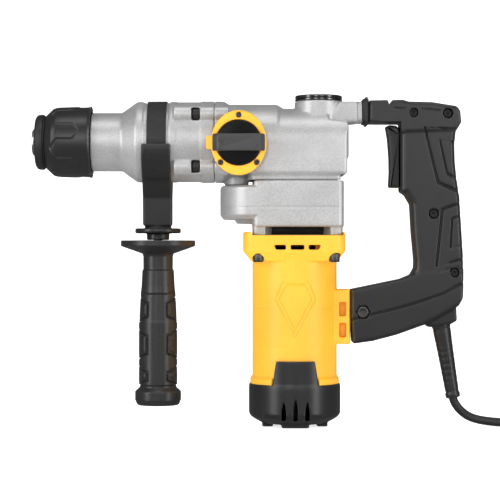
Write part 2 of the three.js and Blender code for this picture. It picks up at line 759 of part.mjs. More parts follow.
// Side outline of the D-handle, from the neck over the back and down to the motor, then round the opening.
const handleOutline = [
  [66.1, 291.3], [96.3, 291.8], [122, 289.8], [144.5, 286.2], [148, 276], [143, 262], [142.9, 236.3],
  [144.5, 221.1], [147, 205], [148.5, 180.3], [150.3, 151.5], [150.3, 128], [149, 112], [138, 102.6],
  [116.8, 91.6], [91, 82.3], [69.4, 76.6], [51.4, 74.1], [50, 99.6], [50, 122.5], [94.9, 131.7],
  [103.8, 135.4], [107.6, 145], [105.2, 174], [103.8, 198.7], [94.2, 210], [94.2, 271.4], [66.1, 271.4],
];
const glandOutline = [
  [116, 96], [118.3, 89], [123.8, 88.7], [139.7, 91.4], [145.2, 94.5], [144.5, 108], [130, 110],
];
const catchOutline = [[82.3, 295], [83.6, 287], [86.2, 287], [87.5, 295]];
const handleScrewPlaces = [[105.8, 280.1], [136.3, 279.6], [123.8, 190], [142.4, 137.4]];
const armBoltPlace = [60.6, 102.4];
const bootTop = new THREE.Vector3(131.8, 0, 90.3);
const bootEnd = new THREE.Vector3(142.7, 0, 25);

function alongBoot(profile, sides) {
  const geometry = new THREE.LatheGeometry(profile.map(([r, t]) => new THREE.Vector2(r, t)), sides);
  const direction = bootEnd.clone().sub(bootTop).normalize();
  const turn = new THREE.Quaternion().setFromUnitVectors(new THREE.Vector3(0, 1, 0), direction);
  geometry.applyQuaternion(turn).translate(bootTop.x, bootTop.y, bootTop.z);
  return solid(geometry);
}

function handleHalf(side) {
  const arms = sidePlate(handleOutline, -handleHalfWidth, handleHalfWidth, 3);
  const whole = arms.add(sidePlate(glandOutline, -11, 11));
  const otherSide = side < 0 ? block(30, 160, -gap / 2, 60, 0, 300) : block(30, 160, -60, gap / 2, 0, 300);
  const tools = [
    otherSide,
    sidePlate(catchOutline, -20, 20),
    block(93, 104, -8.6, 8.6, 211.2, 268.8), // trigger slot
    block(103, 130, -9.3, 9.3, 224, 264.5), // switch
    rod('x', 5.8, 60, 76, 0, toolHeight + neckRise, smallSides), // tongue of the housing's neck
    block(40, 68.3, -5.5, 5.5, 91.3, 113.7), // tongue of the motor bracket
    alongBoot([[0, -12.4], [9, -12.4], [9, 1.5], [8.3, 8], [0, 8]], 16),
  ];
  const [headFrom, headTo] = side < 0 ? [-20, -12.8] : [12.8, 20];
  const screwHead = (x, z, r) => rod('y', r, headFrom, headTo, x, z, smallSides);
  for (const [x, z] of handleScrewPlaces) tools.push(screwHead(x, z, 4.5));
  for (const [x, z] of handleScrewPlaces) tools.push(rod('y', 1.9, -20, 20, x, z, 8));
  tools.push(screwHead(...armBoltPlace, 6.3), rod('y', 3, -20, 20, ...armBoltPlace, 8));
  return cut(whole, ...tools);
}

function handleScrew(x, z) {
  return join(rod('y', 3.8, -15.3, -13.1, x, z, smallSides), rod('y', 1.6, -14, 9, x, z, 8));
}

function armBolt(x, z) {
  return join(rod('y', 5.2, -16.5, -13.1, x, z, 6), rod('y', 2.6, -14, 12.5, x, z, 8));
}

function trigger() {
  const body = sidePlate([
    [81.5, 268.3], [84.7, 269.9], [90.7, 269.4], [94, 266.5], [95.6, 262], [95.6, 213.6], [84.2, 213.8],
    [84.7, 239.7], [83.4, 257],
  ], -8, 8, 1.6);
  return body;
}

function neckRing() {
  const outline = [
    [60.4, 270.9], [62.6, 270.9], [63.4, 269.2], [64.6, 269.2], [65.8, 270.9], [65.8, 292.9],
    [64.6, 294.6], [63.4, 294.6], [62.6, 292.9], [60.4, 292.9],
  ];
  const hole = rod('x', 5.8, 50, 76, 0, toolHeight + neckRise, smallSides);
  return sidePlate(outline, -16.5, 16.5).subtract(hole);
}

piece(rearHandle, 'handle_left', handleHalf(-1), black, 0.6, 0);
piece(rearHandle, 'handle_right', handleHalf(1), black, 0.6, 0);
handleScrewPlaces.forEach(([x, z], i) => {
  piece(rearHandle, `handle_screw_${i + 1}`, handleScrew(x, z), darkSteel, 0.4, 0.7);
});
piece(rearHandle, 'arm_bolt', armBolt(...armBoltPlace), darkSteel, 0.4, 0.7);
piece(rearHandle, 'trigger', trigger(), black, 0.55, 0);
piece(rearHandle, 'switch_body', block(106, 128, -8.6, 8.6, 226, 262), black, 0.6, 0);
piece(rearHandle, 'neck_ring', neckRing(), rubberBlack, 0.8, 0);

// ---- side handle, round its own upright axis; heights are below the chuck axis ----

const saddleFront = -13.1;
const saddleBack = 12.6;

function clampBand() {
  const hoop = ring('x', 35.8, 36.6, -8.6, 8.6, fineSides);
  return hoop.subtract(block(-20, 20, -12, 12, -50, -20));
}

function clampBracket() {
  const radius = 40.2;
  const outline = new THREE.Shape();
  outline.moveTo(radius, -1.7);
  outline.absarc(0, -1.7, radius, 0, -0.95, true);
  outline.lineTo(13.5, -50);
  outline.lineTo(12, -75.3);
  outline.lineTo(-12, -75.3);
  outline.lineTo(-13.5, -50);
  outline.absarc(0, -1.7, radius, Math.PI + 0.95, Math.PI, true);
  const geometry = new THREE.ExtrudeGeometry(outline, {
    depth: saddleBack - saddleFront, bevelEnabled: false, curveSegments: 6,
  });
  geometry.rotateX(Math.PI / 2).rotateZ(Math.PI / 2).translate(saddleFront, 0, 0);
  const saddle = solid(geometry);
  const flange = rod('z', 20.5, -81.9, -77.5, 0, 0, fineSides);
  const stem = rod('z', 11.8, -78, -70, 0, 0, plainSides);
  const neck = rod('z', 10.1, -87.9, -81, 0, 0, plainSides);
  const barrel = rod('x', 37.3, -40, 40, 0, 0, fineSides);
  const bore = rod('z', 4.3, -120, -30, 0, 0, smallSides);
  const headSeat = rod('z', 7.6, -42.5, -30, 0, 0, 6);
  return cut(join(saddle, flange, stem, neck), barrel, bore, headSeat);
}

function clampStud() {
  return join(rod('z', 7, -42, -37, 0, 0, 6), rod('z', 4, -124, -40, 0, 0, smallSides));
}

function sideGrip() {
  const profile = [
    [4.6, -88.3], [33.4, -88.3], [33.4, -93.5], [13.9, -100.5], [13.2, -115.1], [14.9, -129.7],
    [17, -160], [17.2, -217], [20.6, -223.4], [20.6, -232.3], [18.8, -236.1], [0, -236.1], [0, -127],
    [4.6, -127], [4.6, -88.3],
  ];
  return turned('z', profile.reverse(), fineSides);
}

piece(sideHandle, 'clamp_band', clampBand(), steel, 0.35, 0.9);
piece(sideHandle, 'clamp_bracket', clampBracket(), black, 0.6, 0);
piece(sideHandle, 'clamp_stud', clampStud(), steel, 0.35, 0.9);
piece(sideHandle, 'side_grip', sideGrip(), black, 0.6, 0);

// ---- mains lead ----

const cordRoute = [
  [142.95, 0, 23.4], [146.4, 0, 17], [151.4, -0.4, 11.8], [158, -1.8, 7.7], [164.6, -4.1, 5.7],
  [171.5, -7.1, 4.7], [178.5, -10.7, 4.2], [186, -14.8, 4], [193, -18.6, 4], [200, -22.3, 4],
  [207, -25.4, 4], [215, -28.1, 4], [223, -29.5, 4],
];

function cordBoot() {
  return alongBoot([
    [0, -12], [8.6, -12], [8.6, 1.2], [7.9, 7.5], [6.2, 57], [5.85, 60], [6.5, 61.5], [6.5, 65],
    [5.4, 66.2], [0, 66.2],
  ], 16);
}

function cordTube() {
  const path = new THREE.CatmullRomCurve3(cordRoute.map(([x, y, z]) => new THREE.Vector3(x, y, z)));
  const settings = { steps: 24, bevelEnabled: false, extrudePath: path };
  return solid(new THREE.ExtrudeGeometry(circleShape(cordRadius, 10), settings));
}

function cordCoil() {
  const inner = coilRadius - coilSection / 2;
  const outer = coilRadius + coilSection / 2;
  const top = coilHeight;
  const profile = [
    [inner, 3], [inner + 3, 0], [outer - 3, 0], [outer, 3], [outer, top - 4], [outer - 4, top],
    [inner + 4, top], [inner, top - 4], [inner, 3],
  ];
  return turned('z', profile, fineSides).translate([coilX, coilY, 0]);
}

const plugFront = 338; // end of the plug's body
const plugBack = 300;
const plugY = coilY - coilRadius - 7.6; // in line with the outermost turn

function mainsPlug() {
  const outline = roundedRectangle(plugBack, plugFront, plugY - 18, plugY + 18, 8);
  const body = planPlate(outline, 0, 25, 2.5);
  const relief = turned('x', [[0, 283], [5, 283], [7.5, plugBack + 4], [0, plugBack + 4]], smallSides);
  const pins = [-9.5, 9.5].map((y) => rod('x', 2.4, plugFront - 1, plugFront + 19, plugY + y, 12.5, 8));
  return join(body, relief.translate([0, plugY, 12.5]), ...pins);
}

piece(mainsLead, 'cord_boot', cordBoot(), rubberBlack, 0.7, 0);
piece(mainsLead, 'cord', cordTube(), rubberBlack, 0.6, 0);
piece(mainsLead, 'cord_coil', cordCoil(), rubberBlack, 0.6, 0);
piece(mainsLead, 'plug', mainsPlug(), rubberBlack, 0.6, 0);

export default hammer;
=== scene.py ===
import bpy
import bmesh
import math
from mathutils import Matrix, Vector


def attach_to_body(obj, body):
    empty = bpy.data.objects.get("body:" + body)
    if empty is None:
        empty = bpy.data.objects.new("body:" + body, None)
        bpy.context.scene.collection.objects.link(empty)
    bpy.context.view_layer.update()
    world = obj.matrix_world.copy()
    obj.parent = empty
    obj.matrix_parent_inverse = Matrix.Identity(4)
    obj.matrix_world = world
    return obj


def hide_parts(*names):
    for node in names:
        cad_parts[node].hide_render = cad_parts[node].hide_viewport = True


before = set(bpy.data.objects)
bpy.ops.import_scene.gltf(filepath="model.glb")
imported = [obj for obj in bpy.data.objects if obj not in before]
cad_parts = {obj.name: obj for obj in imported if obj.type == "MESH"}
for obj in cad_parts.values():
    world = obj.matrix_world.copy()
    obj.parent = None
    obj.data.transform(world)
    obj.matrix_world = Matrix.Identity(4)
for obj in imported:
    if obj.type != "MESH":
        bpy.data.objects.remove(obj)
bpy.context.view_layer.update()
print("frame loaded with", len(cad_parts), "parts")

mm = 0.001
chuckZ = 254.7  # height of the chuck's axis
selectorZ = 252  # height of the mode selector's axis
scene = bpy.context.scene
scene.view_settings.view_transform = "Standard"

cameraView = {"place": (-40.1, -1600, 157.8), "lens": 128, "sensor": 36}


def makeCamera(c):
    lens = bpy.data.cameras.new("camera")
    lens.lens = c["lens"]
    lens.sensor_width = c["sensor"]
    camera = bpy.data.objects.new("camera", lens)
    scene.collection.objects.link(camera)
    camera.location = Vector(c["place"]) * mm
    camera.rotation_euler = (math.radians(90), 0, 0)
    scene.camera = camera


makeCamera(cameraView)

# shapes are drawn in millimetres, and become metres as they are made


def fromBmesh(bm, name="shape"):
    bmesh.ops.recalc_face_normals(bm, faces=bm.faces)
    bmesh.ops.scale(bm, vec=(mm, mm, mm), verts=bm.verts)
    mesh = bpy.data.meshes.new(name)
    bm.to_mesh(mesh)
    bm.free()
    obj = bpy.data.objects.new(name, mesh)
    scene.collection.objects.link(obj)
    return obj


def pointOn(along, a, b, t):
    return {"x": (t, a, b), "y": (a, t, b), "z": (a, b, t)}[along]


def rounded(points, radius, steps=4):  # every corner of a closed outline becomes a curve
    radii = list(radius) if isinstance(radius, (list, tuple)) else [radius] * len(points)
    line = []
    for i, point in enumerate(points):
        corner = Vector(point)
        before = Vector(points[i - 1]) - corner
        after = Vector(points[(i + 1) % len(points)]) - corner
        reach = radii[i] / max(math.tan(before.angle(after) / 2), 0.05)
        reach = min(reach, before.length * 0.48, after.length * 0.48)
        if reach < 0.08:
            line.append(tuple(point))
            continue
        start = corner + before.normalized() * reach
        end = corner + after.normalized() * reach
        for k in range(steps + 1):
            t = k / steps
            line.append(tuple(start * (1 - t) ** 2 + corner * (2 * t * (1 - t)) + end * t * t))
    return line


def inset(outline, distance):  # moves a closed outline inwards
    pairs = list(zip(outline, outline[1:] + outline[:1]))
    side = 1 if sum(a[0] * b[1] - b[0] * a[1] for a, b in pairs) > 0 else -1
    moved = []
    for i, point in enumerate(outline):
        before = (Vector(point) - Vector(outline[i - 1])).normalized()
        after = (Vector(outline[(i + 1) % len(outline)]) - Vector(point)).normalized()
        normal = Vector((-before.y - after.y, before.x + after.x)).normalized()
        reach = distance / max(0.5, normal.dot(Vector((-before.y, before.x))))
        moved.append(tuple(Vector(point) + normal * reach * side))
    return moved


def box2d(a0, a1, b0, b1):
    return [(a0, b0), (a1, b0), (a1, b1), (a0, b1)]


def stacked(levels, along):  # closed skin through outlines of equal length, each at its own place
    bm = bmesh.new()
    rings = [[bm.verts.new(pointOn(along, a, b, t)) for a, b in line] for line, t in levels]
    bm.faces.new(rings[0])
    bm.faces.new(rings[-1])
    for one, other in zip(rings, rings[1:]):
        for i in range(len(one)):
            j = (i + 1) % len(one)
            bm.faces.new((one[i], one[j], other[j], other[i]))
    return fromBmesh(bm)


def prism(outline, low, high, along="y"):
    return stacked([(outline, low), (outline, high)], along)


def softPrism(outline, low, high, radius, along="y", steps=4):  # both end faces have rounded edges
    turns = [math.pi / 2 * k / steps for k in range(steps + 1)]
    below = [(radius * (1 - math.cos(a)), low + radius * (1 - math.sin(a))) for a in reversed(turns)]
    above = [(radius * (1 - math.cos(a)), high - radius * (1 - math.sin(a))) for a in turns]
    return stacked([(inset(outline, d), t) for d, t in below + above], along)


def lathe(profile, along="z", at=(0, 0), sides=96, relief=None):  # profile points are (radius, place)
    closed = profile[0] == profile[-1]
    bm = bmesh.new()
    rings = []
    for radius, place in profile[:-1] if closed else profile:
        ring = []
        for i in range(sides if radius > 0.01 else 1):
            turn = 2 * math.pi * i / sides
            r = relief(radius, place, math.degrees(turn)) if relief else radius
            a, b = at[0] + r * math.cos(turn), at[1] + r * math.sin(turn)
            ring.append(bm.verts.new(pointOn(along, a, b, place)))
        rings.append(ring)
    pairs = list(zip(rings, rings[1:]))
    if closed:
        pairs.append((rings[-1], rings[0]))
    else:
        for ring in (rings[0], rings[-1]):
            if len(ring) > 1:
                bm.faces.new(ring)
    for one, other in pairs:
        for i in range(sides):
            j = (i + 1) % sides
            corners = [one[i % len(one)], one[j % len(one)], other[j % len(other)], other[i % len(other)]]
            corners = list(dict.fromkeys(corners))
            if len(corners) > 2:
                bm.faces.new(corners)
    return fromBmesh(bm)


def fineProfile(points, step):  # adds points along straight stretches
    line = []
    for (r0, p0), (r1, p1) in zip(points, points[1:]):
        count = max(1, round(math.hypot(r1 - r0, p1 - p0) / step))
        line += [(r0 + (r1 - r0) * k / count, p0 + (p1 - p0) * k / count) for k in range(count)]
    return line + [points[-1]]


def rod(radius, low, high, along="z", at=(0, 0), sides=48):
    return lathe([(radius, low), (radius, high)], along, at, sides)


def applyModifiers(obj):
    graph = bpy.context.evaluated_depsgraph_get()
    made = bpy.data.meshes.new_from_object(obj.evaluated_get(graph))
    old = obj.data
    obj.modifiers.clear()
    obj.data = made
    bpy.data.meshes.remove(old)
    return obj


def carve(body, *tools, how="DIFFERENCE"):
    for tool in tools:
        change = body.modifiers.new("change", "BOOLEAN")
        change.operation = how
        change.solver = "MANIFOLD"
        change.object = tool
    applyModifiers(body)
    for tool in tools:
        mesh = tool.data
        bpy.data.objects.remove(tool)
        bpy.data.meshes.remove(mesh)
    return body


def merge(*solids):
    return carve(solids[0], *solids[1:], how="UNION")


def common(*solids):
    return carve(solids[0], *solids[1:], how="INTERSECT")


def moulded(obj, voxel=0.9, smoothing=4, keep=0.5):  # melts the joined shapes into one cast skin
    skin = obj.modifiers.new("skin", "REMESH")
    skin.mode = "VOXEL"
    skin.voxel_size = voxel * mm
    soft = obj.modifiers.new("soft", "SMOOTH")
    soft.factor = 0.5
    soft.iterations = smoothing
    if keep < 1:
        thin = obj.modifiers.new("thin", "DECIMATE")
        thin.ratio = keep
    applyModifiers(obj)
    obj.data.shade_smooth()
    return obj


def machined(obj, width=0.4, sharp=35, segments=2):  # small rounds on every sharp edge
    edge = obj.modifiers.new("edge", "BEVEL")
    edge.width = width * mm
    edge.segments = segments
    edge.limit_method = "ANGLE"
    edge.angle_limit = math.radians(sharp)
    edge.use_clamp_overlap = True
    applyModifiers(obj)
    obj.data.shade_smooth()
    obj.data.set_sharp_from_angle(angle=math.radians(50))
    return obj


def piece(obj, name, body, finish, slotName, *nodes):
    obj.name = name
    obj.data.name = name
    obj.data.materials.clear()
    obj.data.materials.append(materials[finish])
    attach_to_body(obj, body)
    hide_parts(*nodes)
    print("made", name, len(obj.data.polygons) if obj.type == "MESH" else "")
    return obj


# finishes: tones are linear colours from the darkest to the lightest part of the grain

finishes = {
    "castAluminium": {
        "tones": [(0.40, 0.40, 0.405), (0.60, 0.60, 0.60)], "metal": 0.55, "rough": (0.36, 0.56),
        "grain": 1100, "bump": 0.5, "depth": 0.12, "edge": (0.82, 0.82, 0.82), "wear": 0.5, "blotch": 30,
    },
    "yellowPlastic": {
        "tones": [(0.93, 0.44, 0.022), (1.0, 0.52, 0.034)], "metal": 0, "rough": (0.36, 0.48),
        "grain": 1600, "bump": 0.12, "depth": 0.04, "edge": (1.0, 0.64, 0.12), "wear": 0.35, "blotch": 14,
    },
    "blackPlastic": {
        "tones": [(0.009, 0.009, 0.0095), (0.019, 0.019, 0.0195)], "metal": 0, "rough": (0.3, 0.44),
        "grain": 1500, "bump": 0.3, "depth": 0.05, "edge": (0.09, 0.09, 0.09), "wear": 0.5, "blotch": 22,
    },
    "gripRubber": {
        "tones": [(0.010, 0.010, 0.0105), (0.020, 0.020, 0.0205)], "metal": 0, "rough": (0.32, 0.46),
        "grain": 1200, "bump": 0.3, "depth": 0.05, "edge": (0.08, 0.08, 0.08), "wear": 0.4, "blotch": 20,
    },
    "blackRubber": {
        "tones": [(0.007, 0.007, 0.007), (0.015, 0.015, 0.015)], "metal": 0, "rough": (0.42, 0.6),
        "grain": 900, "bump": 0.3, "depth": 0.06, "edge": (0.06, 0.06, 0.06), "wear": 0.3, "blotch": 26,
    },
    "knobBlack": {
        "tones": [(0.004, 0.004, 0.004),
                  (0.008, 0.008, 0.0082)], "metal": 0, "rough": (0.24, 0.34), "shine": 0.1,
        "grain": 1500, "bump": 0.25, "depth": 0.04, "edge": (0.06, 0.06, 0.06), "wear": 0.4, "blotch": 30,
    },
    "knobGrey": {
        "tones": [(0.028, 0.028, 0.0285),
                  (0.05, 0.05, 0.0505)], "metal": 0, "rough": (0.36, 0.5), "shine": 0.35,
        "grain": 1500, "bump": 0.3, "depth": 0.05, "edge": (0.2, 0.2, 0.2), "wear": 0.5, "blotch": 30,
    },
    "brightSteel": {
        "tones": [(0.44, 0.44, 0.45), (0.66, 0.66, 0.66)], "metal": 1, "rough": (0.2, 0.34),
        "grain": 260, "stretch": (1, 9, 9), "bump": 0.25, "depth": 0.02, "edge": (0.8, 0.8, 0.8),
        "wear": 0.4, "blotch": 40,
    },
    "darkSteel": {
        "tones": [(0.045, 0.043, 0.042), (0.11, 0.105, 0.10)], "metal": 0.85, "rough": (0.32, 0.5),
        "grain": 1300, "bump": 0.3, "depth": 0.03, "edge": (0.32, 0.31, 0.30), "wear": 0.7, "blotch": 60,
    },
    "blackedSteel": {
        "tones": [(0.006, 0.006, 0.006), (0.016, 0.016, 0.016)], "metal": 0.3, "rough": (0.34, 0.5),
        "grain": 1300, "bump": 0.3, "depth": 0.03, "edge": (0.14, 0.135, 0.13), "wear": 0.6, "blotch": 60,
        "shine": 0.35,
    },
    "capSteel": {
        "tones": [(0.06, 0.06, 0.062), (0.13, 0.13, 0.13)], "metal": 1, "rough": (0.16, 0.28),
        "grain": 240, "stretch": (1, 1, 14), "bump": 0.2, "depth": 0.02, "edge": (0.6, 0.6, 0.6),
        "wear": 0.5, "blotch": 50,
    },
    "paintedSteel": {
        "tones": [(0.008, 0.008, 0.008),
                  (0.016, 0.016, 0.016)], "metal": 0, "rough": (0.46, 0.6), "shine": 0.12,
        "grain": 1300, "bump": 0.2, "depth": 0.03, "edge": (0.24, 0.24, 0.24), "wear": 0.6, "blotch": 30,
    },
    "lamination": {
        "tones": [(0.05, 0.05, 0.055), (0.20, 0.20, 0.21)], "metal": 0.8, "rough": (0.4, 0.6),
        "grain": 1000, "stretch": (0.06, 0.06, 1.6), "bump": 0.7, "depth": 0.08, "edge": (0.3, 0.3, 0.3),
        "wear": 0.3, "blotch": 40,
    },
    "copperWinding": {
        "tones": [(0.22, 0.07, 0.025), (0.62, 0.25, 0.10)], "metal": 0.9, "rough": (0.25, 0.42),
        "grain": 900, "stretch": (1, 1, 0.08), "bump": 0.8, "depth": 0.12, "edge": (0.7, 0.35, 0.2),
        "wear": 0.3, "blotch": 30,
    },
    "carbon": {
        "tones": [(0.012, 0.012, 0.012), (0.035, 0.035, 0.035)], "metal": 0, "rough": (0.6, 0.8),
        "grain": 1800, "bump": 0.4, "depth": 0.04, "edge": (0.08, 0.08, 0.08), "wear": 0.3, "blotch": 40,
    },
}


def makeMaterial(name, f):
    material = bpy.data.materials.new(name)
    material.use_nodes = True
    tree = material.node_tree
    shader = tree.nodes["Principled BSDF"]

    def add(kind, values=(), **settings):
        made = tree.nodes.new("ShaderNode" + kind)
        for key, value in dict(values).items():
            made.inputs[key].default_value = value
        for key, value in settings.items():
            setattr(made, key, value)
        return made

    def link(one, output, other, where):
        tree.links.new(one.outputs[output], other.inputs[where])

    place = add("TexCoord")
    stretch = add("Mapping", {"Scale": f.get("stretch", (1, 1, 1))})
    link(place, "Object", stretch, "Vector")
    grain = add("TexNoise", {"Scale": f["grain"], "Detail": 4, "Roughness": 0.65})
    link(stretch, "Vector", grain, "Vector")
    blotch = add("TexNoise", {"Scale": f["blotch"], "Detail": 4, "Roughness": 0.55})
    link(place, "Object", blotch, "Vector")

    tone = add("ValToRGB")  # fine grain
    tone.color_ramp.elements[0].position = 0.32
    tone.color_ramp.elements[1].position = 0.68
    tone.color_ramp.elements[0].color = (*f["tones"][0], 1)
    tone.color_ramp.elements[1].color = (*f["tones"][1], 1)
    link(grain, "Fac", tone, "Fac")

    patch = add("MapRange", {"From Min": 0.35, "From Max": 0.65, "To Min": 0.90, "To Max": 1.06})
    link(blotch, "Fac", patch, "Value")
    patched = add("VectorMath", operation="SCALE")  # slow change of tone over the piece
    link(tone, "Color", patched, 0)
    link(patch, "Result", patched, "Scale")

    shape = add("NewGeometry")
    ridge = add("MapRange", {"From Min": 0.515, "From Max": 0.60, "To Min": 0, "To Max": f["wear"]})
    link(shape, "Pointiness", ridge, "Value")
    rubbed = add("Math", operation="MULTIPLY")  # edges are worn in patches
    link(ridge, "Result", rubbed, 0)
    link(grain, "Fac", rubbed, 1)
    worn = add("Mix", data_type="RGBA")
    link(rubbed, "Value", worn, "Factor")
    tree.links.new(patched.outputs["Vector"], worn.inputs[6])
    worn.inputs[7].default_value = (*f["edge"], 1)
    tree.links.new(worn.outputs[2], shader.inputs["Base Color"])

    low, high = f["rough"]
    rough = add("MapRange", {"From Min": 0.3, "From Max": 0.7, "To Min": low, "To Max": high})
    link(grain, "Fac", rough, "Value")
    link(rough, "Result", shader, "Roughness")

    bump = add("Bump", {"Strength": f["bump"], "Distance": f["depth"] * mm})
    link(grain, "Fac", bump, "Height")
    link(bump, "Normal", shader, "Normal")
    shader.inputs["Metallic"].default_value = f["metal"]
    shader.inputs["Specular IOR Level"].default_value = f.get("shine", 0.5)
    return material


materials = {name: makeMaterial(name, f) for name, f in finishes.items()}
print("made", len(materials), "finishes")

cordSizes = {
    "radius": 3.8,
    "length": 2.0,  # metres
    "route": [
        (142.0, 0, 29.2), (142.95, 0, 23.4), (146.4, 0, 17), (151.4, -0.4, 11.8), (158, -1.8, 7.7),
        (164.6, -4.1, 5.7), (171.5, -7.1, 4.7), (178.5, -10.7, 4.2), (186, -14.8, 4), (193, -18.6, 4),
        (200, -22.3, 4), (207, -25.4, 4), (215, -28.1, 4), (223, -29.5, 4), (232, -29.6, 4),
        (242, -29.6, 3.9),
    ],
    "exit": (142.7, 0, 25),
    "coil": (252, 20),
    "outer": 49.6,  # middle of the outermost turn
    "pitch": 7.6,
    "floor": 3.8,
    "rise": 6.6,  # from one layer to the next
    "stepsInTurn": 36,
    "crossing": (235, 345),  # where each turn passes to the next, in degrees from its start
    "tail": [(258, -29.6, 16.8), (264, -29.6, 16.1), (270, -29.6, 14.9), (276, -29.6, 13.6),
             (282, -29.6, 12.7),
             (289, -29.6, 12.5)],
}


def turnPlace(c, turn):  # radius and height of a turn before its crossing
    bottom, pitch, rise = c["floor"], c["pitch"], c["rise"]
    half = pitch / 2
    inner = c["outer"] - 2 * pitch
    return [
        (c["outer"], bottom), (c["outer"] - pitch, bottom), (inner, bottom), (inner + half, bottom + rise),
        (inner + half + pitch, bottom + rise), (inner + pitch, bottom + 2 * rise),
        (c["outer"], bottom + 2 * rise),
    ][turn]


def crossingPlace(c, turn, s):
    def over(leader, degrees):
        a = math.radians(degrees)
        return leader[0] + c["pitch"] * math.cos(a), leader[1] + c["pitch"] * math.sin(a)

    radius, height = turnPlace(c, turn)
    if turn < 2:
        return radius - c["pitch"] * s, height
    if turn == 2:
        return over(crossingPlace(c, 1, s), 180 - 120 * s)
    if turn == 3:
        return radius + c["pitch"] * s, height + math.sin(2 * math.pi * s) ** 2
    if turn == 4:
        return over(crossingPlace(c, 3, s), 120 * s)
    return over(crossingPlace(c, 4, s), 120 - 120 * s)


def cordPoints(c):
    points = list(c["route"])
    start, end = c["crossing"]
    turns = 7
    for step in range(turns * c["stepsInTurn"] + 1):
        degrees = step * 360 / c["stepsInTurn"]
        turn = min(int(degrees // 360), turns - 1)
        within = degrees - turn * 360
        t = min(1, max(0, (within - start) / (end - start)))
        s = t * t * (3 - 2 * t)
        radius, height = crossingPlace(c, turn, s) if turn < turns - 1 else turnPlace(c, turn)
        a = math.radians(degrees - 90)
        x, y = c["coil"]
        points.append((x + radius * math.cos(a), y + radius * math.sin(a), height))
    return points + c["tail"]


def makeCord(c):
    curve = bpy.data.curves.new("mainsCord", "CURVE")
    curve.dimensions = "3D"
    curve.bevel_depth = c["radius"] * mm
    curve.bevel_resolution = 6
    curve.resolution_u = 4
    curve.use_fill_caps = True
    points = cordPoints(c)
    spline = curve.splines.new("BEZIER")
    spline.bezier_points.add(len(points) - 1)
    for knot, point in zip(spline.bezier_points, points):
        knot.co = Vector(point) * mm
        knot.handle_left_type = "AUTO"
        knot.handle_right_type = "AUTO"
    obj = bpy.data.objects.new("mainsCord", curve)
    scene.collection.objects.link(obj)
    return obj


plugSizes = {
    "back": 300, "front": 338, "middle": -29.6, "height": 25, "halfWidth": 18, "relief": 283, "pinOut": 9.5,
    "pinRadius": 2.4, "pinLength": 19, "ribs": 5,
}


def makePlug(p):
    left, right = p["middle"] - p["halfWidth"], p["middle"] + p["halfWidth"]
    outline = rounded(box2d(p["back"], p["front"], left, right), 9)
    body = softPrism(outline, 0.1, p["height"], 6, "z")
    waist = [rod(5, -5, 40, "z", (p["back"] + 15, y)) for y in (left - 3.4, right + 3.4)]
    carve(body, *waist)
    rise = p["height"] / 2
    steps = [(0, p["relief"])]
    for i in range(p["ribs"]):  # the relief is a stack of rings
        x = p["relief"] + i * 4
        high, low = 5 + i * 0.5, 4.2 + i * 0.5
        steps += [(high, x), (high, x + 2.6), (low, x + 2.8), (low, x + 3.8)]
    relief = lathe(steps + [(0, steps[-1][1])], "x", (p["middle"], rise), 32)
    body = moulded(merge(body, relief), 0.7, 2, 0.6)
    pins = []
    for side in (-1, 1):
        r = p["pinRadius"]
        end = p["front"] + p["pinLength"]
        profile = [(0, p["front"] - 1), (r, p["front"] - 1), (r, end - 2), (r * 0.7, end - 0.5), (0, end)]
        pins.append(lathe(profile, "x", (p["middle"] + side * p["pinOut"], rise), 24))
    return joined(finished(body, "blackRubber"), *[finished(pin, "brightSteel") for pin in pins])


def finished(obj, finish):
    obj.data.materials.clear()
    obj.data.materials.append(materials[finish])
    return obj


def joined(body, *others):  # one object that keeps each piece's own finish
    bm = bmesh.new()
    finishesHere = []
    for obj in (body, *others):
        finish = obj.data.materials[0]
        if finish not in finishesHere:
            finishesHere.append(finish)
        start = len(bm.faces)
        bm.from_mesh(obj.data)
        bm.faces.ensure_lookup_table()
        for face in bm.faces[start:]:
            face.material_index = finishesHere.index(finish)
    mesh = bpy.data.meshes.new("joined")
    bm.to_mesh(mesh)
    bm.free()
    for finish in finishesHere:
        mesh.materials.append(finish)
    mesh.shade_smooth()
    mesh.set_sharp_from_angle(angle=math.radians(50))
    for obj in others:
        bpy.data.objects.remove(obj)
    body.data = mesh
    return body


def attach(obj, name, body, slotName, *nodes):  # for a piece that already has its finishes
    obj.name = name
    obj.data.name = name
    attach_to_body(obj, body)
    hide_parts(*nodes)
    print("made", name)
    return obj


plug = attach(makePlug(plugSizes), "mainsPlug", "machine", "black_rubber", "plug")
mainsCord = makeCord(cordSizes)
piece(mainsCord, "mainsCord", "machine", "blackRubber", "black_rubber", "cord", "cord_coil")

bootSizes = {
    "top": (131.8, 0, 90.3), "end": (142.7, 0, 25), "length": 66.2,
    "profile": [
        (0, -11.8), (8.4, -11.8), (8.4, 1), (7.9, 3), (7.9, 7.5), (7.5, 14), (6.15, 57), (5.9, 60), (5.9, 61),
        (6.5, 61.8), (6.6, 63.5), (6.3, 65.4), (5.2, 66.1), (0, 66.1),
    ],
    "rings": (18, 52, 5.6),  # faint moulded rings, from, to, apart
}


def makeCordBoot(b):
    def relief(radius, place, degrees):
        start, end, apart = b["rings"]
        wave = math.cos(2 * math.pi * (place - start) / apart)
        return radius - (0.16 * max(0, wave) if start < place < end and radius > 1 else 0)

    boot = lathe(fineProfile(b["profile"], 0.8), "z", (0, 0), 64, relief)
    direction = (Vector(b["end"]) - Vector(b["top"])).normalized()
    boot.data.transform(direction.to_track_quat("Z", "Y").to_matrix().to_4x4())
    boot.data.transform(Matrix.Translation(Vector(b["top"]) * mm))
    boot.data.shade_smooth()
    return boot


piece(makeCordBoot(bootSizes), "cordBoot", "machine", "gripRubber", "black_rubber", "cord_boot")

# chuck

